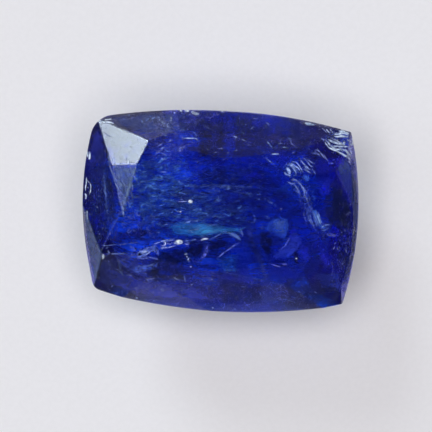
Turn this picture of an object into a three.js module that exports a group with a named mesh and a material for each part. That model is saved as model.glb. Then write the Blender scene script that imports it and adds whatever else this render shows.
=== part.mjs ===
// A loose cushion-cut tanzanite, table up, standing on its small flat culet facet.
// Millimetres, +Z up through the table. The origin is on the resting face, under the middle of the girdle.
// X runs along the stone's length and Y across it.
//
// The stone is cut the way a lapidary cuts it: a preform with the girdle's outline, from which each facet
// takes what lies outside its plane. The crown is a cushion brilliant's (table, stars, mains and upper
// girdle facets). The pavilion is stepped, with a facet across each corner, down to the culet facet.
import * as THREE from "three";

// ---- girdle outline -------------------------------------------------------------------------------
const BOWS = {
  // at: how far along the side it is fullest. out: how far from the middle of the stone it lies there.
  // r: its bow's radius on either side of that point, towards -X or -Y first.
  back: { at: 0.39, out: 3.98, r: [25.4, 20.8] },
  front: { at: 0.04, out: 4.05, r: [23.4, 20.4] },
  left: { at: 0.59, out: 5.51, r: [13.6, 13.4] },
  right: { at: -0.31, out: 5.49, r: [13.4, 13.2] },
};
const HALF_STEPS = 11; // points along each half of a side

// ---- crown: plan positions of the points where its facets meet ---------------------------------------
const TABLE_Z = 5.34; // the stone's whole depth
const TABLE_TIP = { left: [-3.86, -0.06], right: [3.72, 0.02], back: [0.05, 2.23], front: [-0.15, -2.21] };
const CORNERS = [
  // table: the table's corner. end, side: the tips of the stars on the short and on the long side.
  // tips: where the upper girdle facets beside the corner main reach the girdle, short side's first.
  // foot: where the short side's upper girdle facet leaves the end main. round: radius of the girdle's corner.
  // lift: how much higher than the corner main those facets pass over its tips, short side's first.
  { sx: 1, sy: 1, table: [3.17, 1.79], end: [4.37, 1.98], side: [2.8, 2.73], tips: [[4.93, 3.44], [4.93, 3.44]], foot: [5.5, 0], round: 0.08, lift: [0.3, 0] },
  { sx: -1, sy: 1, table: [-3.39, 1.77], end: [-4.35, 1.65], side: [-3.0, 2.7], tips: [[-5.02, 3.12], [-4.99, 3.27]], foot: [-5.45, 1.45], round: 0.95, lift: [0, 0] },
  { sx: -1, sy: -1, table: [-3.16, -1.74], end: [-4.63, -1.92], side: [-2.61, -2.66], tips: [[-4.85, -3.33], [-4.85, -3.33]], foot: [-5.5, -0.13], round: 0.42, lift: [0, 0.52] },
  { sx: 1, sy: -1, table: [3.0, -1.76], end: [4.5, -1.96], side: [2.79, -2.63], tips: [[5.1, -3.3], [5.1, -3.3]], foot: [5.5, 0], round: 0.1, lift: [0.22, 0.36] },
];
const END_SLOPE = { left: 0.84, right: 0.82 }; // tangents of the end mains' angles
const END_MAIN_TURN = { left: 3, right: 0 }; // and how far each is turned towards the front, in degrees
const SIDE_SLOPE = { back: 0.78, front: 0.78 }; // tangents of the side mains' angles
const BEVEL = { foot: 3.72, slope: 1.75, spans: 3 }; // the girdle's ground bevel, on the right-hand side only. Spans to each half

// ---- pavilion -------------------------------------------------------------------------------------
const GIRDLE_FOOT = 3.49; // height of the girdle's lower edge
const HALF_LENGTH = 5.5; // the nominal outline that the steps are measured in from
const HALF_WIDTH = 4.04;
const STEPS = [
  // height of each step's lower edge, and its distance from the middle on Y and on X
  { z: 1.75, side: 2.84, end: 4.4 },
  { z: 0.66, side: 1.79, end: 3.3 },
  { z: 0.0, side: 0.89, end: 2.2 },
];
const SIDE_TURN = 0.094; // tangent of the turn between a side's middle and its halves, lower steps
const END_TURN = 0.13;
const TURN_EASE = 0.3; // the turn lessens by this much a step
const CORNER_SLOPE = 0.98; // tangent of the corner facets' angle
const CORNER_DROP = 0.05; // their tops lie this far below the girdle's lower edge

const v3 = (x, y, z) => new THREE.Vector3(x, y, z);

// The circle of the half of a side that runs from its fullest point to a corner.
// `start` is that point, as an angle about the circle.
function longBow(sx, sy) {
  const { at, out, r } = sy > 0 ? BOWS.back : BOWS.front;
  const radius = r[sx > 0 ? 1 : 0];
  return { x: at, y: sy * (out - radius), r: radius, start: (sy * Math.PI) / 2 };
}
function shortBow(sx, sy) {
  const { at, out, r } = sx > 0 ? BOWS.right : BOWS.left;
  const radius = r[sy > 0 ? 1 : 0];
  return { x: sx * (out - radius), y: at, r: radius, start: sx > 0 ? 0 : Math.PI };
}

// The rounding circle of a corner touches both bows from inside.
function cornerCircle({ sx, sy, tips, round: radius }) {
  const centre = new THREE.Vector2(...tips[0]);
  const sides = [longBow(sx, sy), shortBow(sx, sy)];
  for (let i = 0; i < 200; i++)
    for (const s of sides) {
      const away = centre.clone().sub(s);
      const length = away.length();
      centre.addScaledVector(away.divideScalar(length), s.r - radius - length);
    }
  const touch = (s) => Math.atan2(centre.y - s.y, centre.x - s.x);
  return { x: centre.x, y: centre.y, r: radius, onLong: touch(sides[0]), onShort: touch(sides[1]) };
}

// The girdle's outline, anticlockwise seen from above.
function outline() {
  const points = [];
  const arc = (c, from, to, steps) => {
    const turn = (to - from + 4 * Math.PI) % (2 * Math.PI);
    for (let i = 0; i < steps; i++) {
      const a = from + (turn * i) / steps;
      points.push(new THREE.Vector2(c.x + c.r * Math.cos(a), c.y + c.r * Math.sin(a)));
    }
  };
  const quarters = CORNERS.map(cornerCircle);
  CORNERS.forEach(({ sx, sy }, i) => {
    const corner = quarters[i];
    const long = longBow(sx, sy);
    const short = shortBow(sx, sy);
    const steps = Math.max(3, Math.ceil(corner.r * 9));
    if (sx * sy > 0) {
      arc(short, short.start, corner.onShort, HALF_STEPS);
      arc(corner, corner.onShort, corner.onLong, steps);
      arc(long, corner.onLong, long.start, HALF_STEPS);
    } else {
      arc(long, long.start, corner.onLong, HALF_STEPS);
      arc(corner, corner.onLong, corner.onShort, steps);
      arc(short, corner.onShort, short.start, HALF_STEPS);
    }
  });
  return points;
}

// ---- cutting ----------------------------------------------------------------------------------------
const SAME = 1e-6;

// A convex solid is a list of faces, each a list of points turning anticlockwise seen from outside.
function preform(points, low, high) {
  const at = (z) => points.map((p) => v3(p.x, p.y, z));
  const top = at(high);
  const bottom = at(low);
  const faces = [top.slice(), bottom.slice().reverse()];
  for (let i = 0; i < points.length; i++) {
    const j = (i + 1) % points.length;
    faces.push([bottom[i], bottom[j], top[j], top[i]]);
  }
  return faces;
}

// Takes away what lies outside the plane, and closes the cut with the new facet.
function cut(faces, plane) {
  const kept = [];
  const rim = [];
  const addRim = (p) => {
    if (!rim.some((q) => q.distanceTo(p) < SAME)) rim.push(p);
  };
  for (const face of faces) {
    const d = face.map((p) => plane.distanceToPoint(p));
    const left = [];
    for (let i = 0; i < face.length; i++) {
      const j = (i + 1) % face.length;
      if (d[i] <= SAME) left.push(face[i]);
      if (Math.abs(d[i]) <= SAME) addRim(face[i]);
      if ((d[i] < -SAME && d[j] > SAME) || (d[i] > SAME && d[j] < -SAME)) {
        const p = face[i].clone().lerp(face[j], d[i] / (d[i] - d[j]));
        left.push(p);
        addRim(p);
      }
    }
    const tidy = left.filter((p, i) => p.distanceTo(left[(i + 1) % left.length]) > SAME);
    if (tidy.length > 2 && tidy.some((p) => plane.distanceToPoint(p) < -SAME)) kept.push(tidy);
  }
  if (rim.length < 3) return kept;
  const middle = rim.reduce((sum, p) => sum.add(p), v3(0, 0, 0)).divideScalar(rim.length);
  const u = rim[0].clone().sub(middle).projectOnPlane(plane.normal).normalize();
  const v = plane.normal.clone().cross(u);
  const turn = (p) => {
    const q = p.clone().sub(middle);
    return Math.atan2(q.dot(v), q.dot(u));
  };
  kept.push(rim.sort((a, b) => turn(a) - turn(b)));
  return kept;
}

// The plane through three points, facing out of the stone.
const INSIDE = v3(0, 0, GIRDLE_FOOT);
function facet(a, b, c) {
  const plane = new THREE.Plane().setFromCoplanarPoints(a, b, c);
  return plane.distanceToPoint(INSIDE) > 0 ? plane.negate() : plane;
}

// The point of a plane above (x, y).
function above(plane, x, y) {
  const n = plane.normal;
  return v3(x, y, (-plane.constant - n.x * x - n.y * y) / n.z);
}

function crown() {
  const planes = [new THREE.Plane(v3(0, 0, 1), -TABLE_Z)];
  const onTable = ([x, y]) => v3(x, y, TABLE_Z);
  // A main hangs from its table point, and falls away square to the outline, or nearly so.
  const hang = (tip, x, y, slope) => {
    const p = onTable(tip);
    const a = p.clone().add(v3(-y, x, 0));
    const b = p.clone().add(v3(x, y, -slope));
    return facet(p, a, b);
  };
  const turned = (sign, degrees) => {
    const t = THREE.MathUtils.degToRad(degrees);
    return [sign * Math.cos(t), -Math.sin(t)];
  };
  const main = {
    left: hang(TABLE_TIP.left, ...turned(-1, END_MAIN_TURN.left), END_SLOPE.left),
    right: hang(TABLE_TIP.right, ...turned(1, END_MAIN_TURN.right), END_SLOPE.right),
    back: hang(TABLE_TIP.back, 0, 1, SIDE_SLOPE.back),
    front: hang(TABLE_TIP.front, 0, -1, SIDE_SLOPE.front),
  };
  planes.push(...Object.values(main));
  for (const c of CORNERS) {
    const endName = c.sx > 0 ? "right" : "left";
    const sideName = c.sy > 0 ? "back" : "front";
    const endMain = main[endName];
    const sideMain = main[sideName];
    const tableCorner = onTable(c.table);
    const endTip = above(endMain, ...c.end);
    const sideTip = above(sideMain, ...c.side);
    const cornerMain = facet(tableCorner, endTip, sideTip);
    const [endGirdle, sideGirdle] = c.tips.map((p, i) => above(cornerMain, ...p).add(v3(0, 0, c.lift[i])));
    const endFoot = above(endMain, ...c.foot);
    const sideFoot = above(sideMain, TABLE_TIP[sideName][0], c.sy * BOWS[sideName].out);
    planes.push(cornerMain);
    planes.push(facet(onTable(TABLE_TIP[endName]), tableCorner, endTip)); // stars
    planes.push(facet(onTable(TABLE_TIP[sideName]), tableCorner, sideTip));
    planes.push(facet(endTip, endFoot, endGirdle), facet(sideTip, sideFoot, sideGirdle)); // upper girdle facets
  }
  return planes;
}

// A plane through a chord of a bow at height z, leaning in by the slope on its way up or down.
function chord(c, from, to, z, rise, run) {
  const at = (a) => v3(c.x + c.r * Math.cos(a), c.y + c.r * Math.sin(a), z);
  const a = at(from);
  const mid = (from + to) / 2;
  return facet(a, at(to), a.clone().add(v3(-run * Math.cos(mid), -run * Math.sin(mid), rise)));
}

// Where a corner's end of a half bow lies, as the bow's angle.
function cornerEnd(c, { tips }) {
  const a = Math.atan2(tips[0][1] - c.y, tips[0][0] - c.x);
  return a + 2 * Math.PI * Math.round((c.start - a) / (2 * Math.PI));
}

function bevel() {
  const planes = [];
  for (const corner of CORNERS.filter(({ sx }) => sx > 0)) {
    const c = shortBow(corner.sx, corner.sy);
    const step = (cornerEnd(c, corner) - c.start) / BEVEL.spans;
    for (let k = 0; k < BEVEL.spans; k++)
      planes.push(chord(c, c.start + k * step, c.start + (k + 1) * step, BEVEL.foot, BEVEL.slope, 1));
  }
  return planes;
}

// The top step follows the girdle with four facets to a side. The steps below have two.
function pavilion() {
  const planes = [new THREE.Plane(v3(0, 0, -1), 0)];
  const [step] = STEPS;
  const fall = step.z - GIRDLE_FOOT;
  for (const corner of CORNERS) {
    const { sx, sy, tips } = corner;
    const halves = [
      [longBow(sx, sy), HALF_WIDTH - step.side],
      [shortBow(sx, sy), HALF_LENGTH - step.end],
    ];
    for (const [c, run] of halves) {
      const to = cornerEnd(c, corner);
      const mid = (c.start + to) / 2;
      planes.push(chord(c, c.start, mid, GIRDLE_FOOT, fall, run), chord(c, mid, to, GIRDLE_FOOT, fall, run));
    }
    for (let k = 0; k + 1 < STEPS.length; k++) {
      const a = STEPS[k];
      const b = STEPS[k + 1];
      const ease = 1 - TURN_EASE * k;
      planes.push(
        facet(v3(0, sy * a.side, a.z), v3(0, sy * b.side, b.z), v3(sx, sy * (a.side - SIDE_TURN * ease), a.z)),
        facet(v3(sx * a.end, 0, a.z), v3(sx * b.end, 0, b.z), v3(sx * (a.end - END_TURN * ease), sy, a.z)),
      );
    }
    const top = v3(...tips[0], GIRDLE_FOOT - CORNER_DROP);
    const level = v3(-sx, sy, 0);
    const down = v3(-sx, -sy, 0).normalize().setZ(-CORNER_SLOPE);
    planes.push(facet(top, top.clone().add(level), top.clone().add(down)));
  }
  return planes;
}

function cutStone() {
  let faces = preform(outline(), -1, TABLE_Z + 1);
  for (const plane of [...crown(), ...bevel(), ...pavilion()]) faces = cut(faces, plane);
  return faces;
}

// Each facet is a fan of triangles about its first corner.
function toGeometry(faces) {
  const position = [];
  for (const f of faces)
    for (let i = 1; i + 1 < f.length; i++) for (const p of [f[0], f[i], f[i + 1]]) position.push(p.x, p.y, p.z);
  const g = new THREE.BufferGeometry();
  g.setAttribute("position", new THREE.Float32BufferAttribute(position, 3));
  g.computeVertexNormals();
  return g;
}

const tanzanite = new THREE.MeshStandardMaterial({
  color: new THREE.Color(0.1, 0.13, 0.5),
  roughness: 0.06,
  metalness: 0,
});

const gemstone = new THREE.Mesh(toGeometry(cutStone()), tanzanite);
gemstone.name = "gemstone";

const group = new THREE.Group();
group.add(gemstone);
export default group;
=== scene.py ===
import math
import random

import bmesh
import bpy
import numpy as np
from mathutils import Matrix, Vector, noise


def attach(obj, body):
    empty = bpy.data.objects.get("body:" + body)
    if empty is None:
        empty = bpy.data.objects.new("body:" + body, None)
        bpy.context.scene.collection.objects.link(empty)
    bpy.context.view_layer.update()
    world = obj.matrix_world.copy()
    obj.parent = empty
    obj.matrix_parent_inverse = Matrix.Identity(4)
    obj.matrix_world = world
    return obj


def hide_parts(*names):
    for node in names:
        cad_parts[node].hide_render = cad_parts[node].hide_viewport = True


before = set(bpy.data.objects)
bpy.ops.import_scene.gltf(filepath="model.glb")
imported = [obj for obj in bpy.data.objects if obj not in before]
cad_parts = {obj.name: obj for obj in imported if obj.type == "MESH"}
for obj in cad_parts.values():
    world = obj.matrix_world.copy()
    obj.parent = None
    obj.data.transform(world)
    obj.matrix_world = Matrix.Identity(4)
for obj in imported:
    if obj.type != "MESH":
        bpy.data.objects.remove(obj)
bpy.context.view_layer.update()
MM = 0.001
IOR = 1.695

DAY = (0.865, 1.0, 1.12)
WALL = (1.0, 1.0, 1.02)
# each lamp: azimuth, elevation, whole within, gone at (degrees), strength, tint
LAMPS = [
    (122, 25, 9.6, 13.5, 8.0, DAY),  # the window
    (178, 50, 8, 24, 1.0, (0.86, 1.02, 1.2)),  # the wall beside it
    (90, 2, 10, 36, 0.12, WALL),
    (172, 2, 6, 26, 0.1, (0.75, 0.9, 1.2)),
    (-95, 6, 16, 45, 0.13, WALL),
    (52, 28, 10, 36, 0.06, WALL),
    (-40, 18, 15, 45, 0.04, WALL),
]
RING = (58, 65, 74, 79, 118, -0.6, 0.7, 0.2)
RING_RGB = (6.25, 6.2, 6.55)
FILL = (0.02, 0.02, 0.021)
FLOOR = ((0.925, 0.893, 0.87, 1), (0.945, 0.913, 0.89, 1))
# painted shade: the grey the floor's colour turns to far out, and the distances in mm over which it does
FLOOR_SHADED_FAR = (0.16, 0.158, 0.16, 1)
FLOOR_SHADE_FADE = (16.0, 50.0)

scene = bpy.context.scene


def link(o):
    scene.collection.objects.link(o)
    return o


def unit(v):
    v = np.asarray(v, float)
    return v / np.linalg.norm(v)


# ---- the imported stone's facets, in millimetres --------------------------------------------------------
def facet_mesh():
    """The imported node's facets as flat polygons."""
    bm = bmesh.new()
    bm.from_mesh(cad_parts["gemstone"].data)
    bmesh.ops.scale(bm, vec=(1000, 1000, 1000), verts=bm.verts)
    bmesh.ops.remove_doubles(bm, verts=bm.verts, dist=2e-3)
    bmesh.ops.dissolve_limit(
        bm, angle_limit=math.radians(0.4), verts=bm.verts, edges=bm.edges
    )
    return bm


bm = facet_mesh()
PLANE_N = np.array([f.normal[:] for f in bm.faces])
PLANE_D = np.array([f.normal.dot(f.calc_center_median()) for f in bm.faces])
CROWN = PLANE_N[:, 2] > 0.2
CORNERS_OF = [np.array([v.co[:2] for v in f.verts]) for f in bm.faces]

# The stone is looked at from above, leaning a little to the back. Inclusions are placed by where they show
# on the crown and how far along the bent sight line below it they lie.
SIGHT = unit((0, -math.sin(math.radians(7.5)), -math.cos(math.radians(7.5))))


def bent(n):
    """The sight line's direction after a facet with normal n bends it."""
    c = -float(n @ SIGHT)
    k = 1 / IOR
    return k * SIGHT + (k * c - math.sqrt(1 - k * k * (1 - c * c))) * n


BENT = np.array([bent(n) for n in PLANE_N])


def direction(az, el):
    """A unit vector: az is the angle from +X towards +Y, el above the horizon, in degrees."""
    a, e = math.radians(az), math.radians(el)
    return np.array((math.cos(a) * math.cos(e), math.sin(a) * math.cos(e), math.sin(e)))


def lit_normal(k):
    """How a sheet under facet k has to lie to send the room's light back along the bent sight line."""
    total = np.zeros(3)
    for az, el in ((RING[4], 70), LAMPS[0][:2]):
        d, n = direction(az, el), PLANE_N[k]
        if d @ n < 0.15:
            if el < 45:
                continue
            n = np.array((0.0, 0.0, 1.0))
        c, r = d @ n, 1 / IOR
        inside = r * d + (math.sqrt(1 - r * r * (1 - c * c)) - r * c) * n
        total += unit(inside - BENT[k])
    return unit(total)


LIT = [lit_normal(k) for k in range(len(PLANE_N))]


SIDES = np.abs(PLANE_N[:, 2]) <= 0.2


def facet_at(p):
    """The crown facet over a plan point."""
    z = (PLANE_D - PLANE_N[:, :2] @ np.asarray(p, float)) / np.where(CROWN, PLANE_N[:, 2], 1)
    return int(np.argmin(np.where(CROWN, z, 1e9)))


def clear_of_skin(pts, gap=0.03):
    """Moves points that lie outside the stone, or too near its skin, in towards its middle."""
    mid = np.array((0.1, 0.0, 3.2))
    off = pts @ PLANE_N.T - (PLANE_D - gap)
    inner = (PLANE_D - gap) - PLANE_N @ mid
    along = (pts - mid) @ PLANE_N.T
    t = np.where(off > 0, inner / np.maximum(along, 1e-9), 1.0).min(1)
    return mid + (pts - mid) * np.minimum(t, 1.0)[:, None]


def under(plan, depth, k=None):
    """Where points that show at `plan` on the crown lie, `depth` along the bent sight line."""
    plan = np.atleast_2d(np.asarray(plan, float))
    if k is None:
        k = facet_at(plan.mean(0))
    n = PLANE_N[k]
    z = (PLANE_D[k] - plan @ n[:2]) / n[2]
    pts = np.column_stack([plan, z])
    return pts + np.asarray(depth, float).reshape(-1, 1) * BENT[k]


def on_skin(plan, lift=0.002):
    """Points on the crown over `plan`, lifted off it by a hair."""
    plan = np.atleast_2d(np.asarray(plan, float))
    z = (PLANE_D[None] - plan @ PLANE_N[:, :2].T) / np.where(CROWN, PLANE_N[:, 2], 1)
    z = np.where(CROWN, z, 1e9)
    k = z.argmin(1)
    pts = np.column_stack([plan, z.min(1)])
    over = pts @ PLANE_N[SIDES].T - PLANE_D[SIDES]
    worst = over.argmax(1)
    pts -= PLANE_N[SIDES][worst] * np.maximum(over.max(1), 0)[:, None]
    return pts + PLANE_N[k] * lift


# ---- thin things: ribbons and patches gathered into meshes ---------------------------------------------
def wander(p, seed, scale=1.0):
    return noise.noise(Vector((p[0] * scale + seed * 7.31, p[1] * scale - seed * 3.17, seed * 1.7)))


def smooth_path(path, step=0.06):
    """A rounded path through the points, cut into even steps."""
    p = np.asarray(path, float)
    if len(p) > 2:
        for _ in range(2):
            q = [p[0]]
            for a, b in zip(p[:-1], p[1:]):
                q += [a * 0.75 + b * 0.25, a * 0.25 + b * 0.75]
            q.append(p[-1])
            p = np.array(q)
    seg = np.linalg.norm(np.diff(p, axis=0), axis=1)
    s = np.concatenate([[0], np.cumsum(seg)])
    n = max(3, int(s[-1] / step) + 1)
    t = np.linspace(0, s[-1], n)
    return np.column_stack([np.interp(t, s, p[:, i]) for i in range(p.shape[1])]), t


class Layer:
    def __init__(self, seed=1):
        self.v, self.f, self.fade, self.tint, self.grain = [], [], [], [], []
        self.count = 0
        self.rng = random.Random(seed)

    def add(self, verts, faces, fade, rgb, grain):
        base = self.count
        self.v.append(np.asarray(verts, float))
        self.f += [tuple(base + i for i in f) for f in faces]
        self.fade.append(np.asarray(fade, float))
        rgb = np.asarray(rgb, float)
        self.tint.append(np.tile(rgb, (len(verts), 1)) if rgb.ndim == 1 else rgb)
        self.grain.append(np.asarray(grain, float))
        self.count += len(verts)

    def ribbon(self, path, width, depth=0.3, fade=1.0, rgb=(0.8, 0.9, 1.0), taper=0.35, jitter=0.0, skin=False,
               core=0.55, step=0.06, turn=0.1):
        """A thin strip along a path in plan, whole along its middle and faded at its edges. Below the skin its
        flat side is turned to the light, give or take `turn`."""
        pts, t = smooth_path(path, step)
        seed = self.rng.random() * 50
        if jitter:
            pts = pts + np.array(
                [[wander(p, seed, 5), wander(p, seed + 9, 5)] for p in pts]
            ) * jitter
        d = np.gradient(pts, axis=0)
        d /= np.maximum(np.linalg.norm(d, axis=1), 1e-9)[:, None]
        side = np.column_stack([-d[:, 1], d[:, 0]])
        u = t / t[-1]
        swell = np.clip(np.minimum(u, 1 - u) / max(taper, 1e-6), 0, 1) ** 0.7 if taper else np.ones_like(u)
        swell = swell * np.array([1 + 0.35 * wander(p, seed + 3, 6) for p in pts])
        half = 0.5 * width * np.maximum(swell, 0.12)
        if skin:
            across = None
        else:
            k = facet_at(pts.mean(0))
            r = self.rng
            face = unit(LIT[k] + turn * np.array((r.gauss(0, 1), r.gauss(0, 1), 0.0)))
            line = clear_of_skin(under(pts, depth + 0.3 * depth * np.array([wander(p, seed + 5, 1.3) for p in pts]), k), 0.012)
            ahead = np.gradient(line, axis=0)
            across = np.cross(face, ahead)
            across /= np.maximum(np.linalg.norm(across, axis=1), 1e-9)[:, None]
            flip = np.sign((across[:, :2] * side).sum(1))
            across *= np.where(flip == 0, 1, flip)[:, None]
        rows, fades, grains = [], [], []
        for off, fa in ((-1, 0.0), (-core, 1.0), (0, 1.0), (core, 1.0), (1, 0.0)):
            if skin:
                rows.append(on_skin(pts + side * (half * off)[:, None]))
            else:
                rows.append(clear_of_skin(line + across * (half * off)[:, None], 0.01))
            fades.append(fade * fa * np.clip(swell, 0, 1))
            grains.append(np.column_stack([np.full(len(t), off * width * 0.5), t, np.full(len(t), seed)]))
        n = len(t)
        verts = np.concatenate(rows)
        faces = [
            (r * n + i, r * n + i + 1, (r + 1) * n + i + 1, (r + 1) * n + i)
            for r in range(4) for i in range(n - 1)
        ]
        self.add(verts, faces, np.concatenate(fades), rgb, np.concatenate(grains))

    def patch(self, outline, depth=1.0, fade=1.0, rgb=(0.5, 0.7, 1.0), soft=0.1, cell=0.05, crumple=0.0,
              crumple_scale=3.0, lean=(0.0, 0.0), along=(1.0, 0.0), ragged=0.0, skin=False, lit=0.0):
        """A sheet with an outline in plan, faded in from its rim over `soft`. `lit` turns it to the light; with no
        depth it follows the crown just under the skin."""
        poly = np.asarray(outline, float)
        lo, hi = poly.min(0) - cell, poly.max(0) + cell
        nx, ny = (np.ceil((hi - lo) / cell).astype(int) + 1)
        gx, gy = np.meshgrid(np.linspace(lo[0], hi[0], nx), np.linspace(lo[1], hi[1], ny))
        p = np.column_stack([gx.ravel(), gy.ravel()])
        seed = self.rng.random() * 50
        q = p
        if ragged:
            q = p + ragged * np.array([[wander(a, seed, 4), wander(a, seed + 5, 4)] for a in p])
        a, b = poly, np.roll(poly, -1, axis=0)
        dist = np.full(len(p), 1e9)
        inside = np.zeros(len(p), bool)
        for (ax, ay), (bx, by) in zip(a, b):
            e = np.array((bx - ax, by - ay))
            w = q - (ax, ay)
            s = np.clip((w @ e) / max(e @ e, 1e-12), 0, 1)
            dist = np.minimum(dist, np.linalg.norm(w - s[:, None] * e, axis=1))
            crosses = (ay > q[:, 1]) != (by > q[:, 1])
            x = ax + (q[:, 1] - ay) * (bx - ax) / ((by - ay) or 1e-12)
            inside ^= crosses & (q[:, 0] < x)
        signed = np.where(inside, dist, -dist)
        f = np.clip(signed / soft, 0, 1)
        f = f * f * (3 - 2 * f)
        c = poly.mean(0)
        deep = (depth or 0.0) + (p - c) @ np.asarray(lean, float)
        if crumple:
            deep = deep + crumple * np.array([wander(a, seed + 11, crumple_scale) for a in p])
        if skin:
            verts = on_skin(p)
        elif depth is None:
            verts = clear_of_skin(on_skin(p, 0.0), 0.06)
        else:
            k = facet_at(c)
            if lit:
                face = unit(PLANE_N[k] * (1 - lit) + LIT[k] * lit)
                on_facet = under(p, 0.0, k)
                middle = under(c, depth, k)[0]
                deep = ((middle - on_facet) @ face) / (BENT[k] @ face) + deep - depth
            verts = clear_of_skin(under(p, np.maximum(deep, 0.02), k), 0.012)
        along = unit(along)
        grain = np.column_stack([
            (p - c) @ np.array((-along[1], along[0])), (p - c) @ along, np.full(len(p), seed)
        ])
        keep = signed > -cell * 0.75
        index = -np.ones(len(p), int)
        cells = []
        for j in range(ny - 1):
            for i in range(nx - 1):
                k = [j * nx + i, j * nx + i + 1, (j + 1) * nx + i + 1, (j + 1) * nx + i]
                if all(keep[m] for m in k) and max(f[m] for m in k) > 0:
                    cells.append(k)
        used = sorted({m for k in cells for m in k})
        index[used] = np.arange(len(used))
        self.add(verts[used], [[index[m] for m in k] for k in cells], fade * f[used], rgb, grain[used])

    def nicks(self, outline, count, length, width, angle, fan, fade, rgb):
        """Fine nicks and scratches on the skin, scattered over an outline in plan."""
        poly = np.asarray(outline, float)
        lo, hi = poly.min(0), poly.max(0)
        r = self.rng
        while count > 0:
            c = np.array((r.uniform(lo[0], hi[0]), r.uniform(lo[1], hi[1])))
            odd = False
            for (ax, ay), (bx, by) in zip(poly, np.roll(poly, -1, axis=0)):
                if (ay > c[1]) != (by > c[1]) and c[0] < ax + (c[1] - ay) * (bx - ax) / (by - ay):
                    odd = not odd
            if not odd:
                continue
            count -= 1
            a = math.radians(angle) + r.gauss(0, fan)
            ln = length * math.exp(r.gauss(-0.3, 0.6))
            v = np.array((math.cos(a), math.sin(a))) * ln / 2
            bend = np.array((-v[1], v[0])) * r.gauss(0, 0.3)
            self.ribbon([c - v, c + bend, c + v], width * r.uniform(0.7, 1.4), fade=fade * r.uniform(0.25, 1.0) ** 1.5,
                        rgb=rgb, taper=0.4, skin=True, step=0.08)

    def edges(self, k, width, fade, rgb, jitter=0.01, only=None):
        """The worn edges of facet k."""
        c = CORNERS_OF[k]
        mid = c.mean(0)
        for i, (a, b) in enumerate(zip(c, np.roll(c, -1, axis=0))):
            if only is None or only(0.5 * (a + b) - mid):
                line = [a + (b - a) * t for t in np.linspace(0, 1, 2 + int(np.linalg.norm(b - a) / 0.15))]
                self.ribbon(line, width, fade=fade, rgb=rgb, taper=0.03, jitter=jitter, skin=True, core=0.6)

    def strands(self, path, spread, count, length, width, angle=None, depth=0.3, fade=0.8, rgb=(0.8, 0.9, 1.0),
                fan=0.25, skin=False, rgb_var=0.15):
        """Short tapered strokes scattered about a path, lying along it or at an angle from +X in degrees."""
        pts, t = smooth_path(path)
        r = self.rng
        for _ in range(count):
            i = min(len(pts) - 2, int(r.random() * (len(pts) - 1)))
            d = unit(pts[i + 1] - pts[i])
            c = pts[i] + np.array((-d[1], d[0])) * r.gauss(0, 0.5) * spread
            a = math.atan2(d[1], d[0]) if angle is None else math.radians(angle)
            a += r.gauss(0, fan)
            ln = length * r.uniform(0.5, 1.4)
            v = np.array((math.cos(a), math.sin(a))) * ln / 2
            bend = np.array((-v[1], v[0])) * r.gauss(0, 0.15)
            dim = 1 - rgb_var * r.random()
            self.ribbon([c - v, c + bend, c + v], width * r.uniform(0.6, 1.3), depth * r.uniform(0.7, 1.3),
                        fade * r.uniform(0.5, 1.0), np.asarray(rgb) * dim, taper=0.5, skin=skin)

    def build(self, name, mat, smooth=True):
        v = np.concatenate(self.v) * MM
        me = bpy.data.meshes.new(name)
        me.from_pydata([tuple(p) for p in v], [], self.f)
        me.update()
        at = me.attributes.new("fade", "FLOAT", "POINT")
        at.data.foreach_set("value", np.concatenate(self.fade).astype(np.float32))
        tint = np.concatenate(self.tint)
        at = me.attributes.new("tint", "FLOAT_COLOR", "POINT")
        at.data.foreach_set("color", np.column_stack([tint, np.ones(len(tint))]).astype(np.float32).ravel())
        at = me.attributes.new("grain", "FLOAT_VECTOR", "POINT")
        at.data.foreach_set("vector", np.concatenate(self.grain).astype(np.float32).ravel())
        if smooth:
            me.shade_smooth()
        o = link(bpy.data.objects.new(name, me))
        o.data.materials.append(mat)
        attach(o, "root")
        print(name, len(me.polygons), "faces")
        return o


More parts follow.
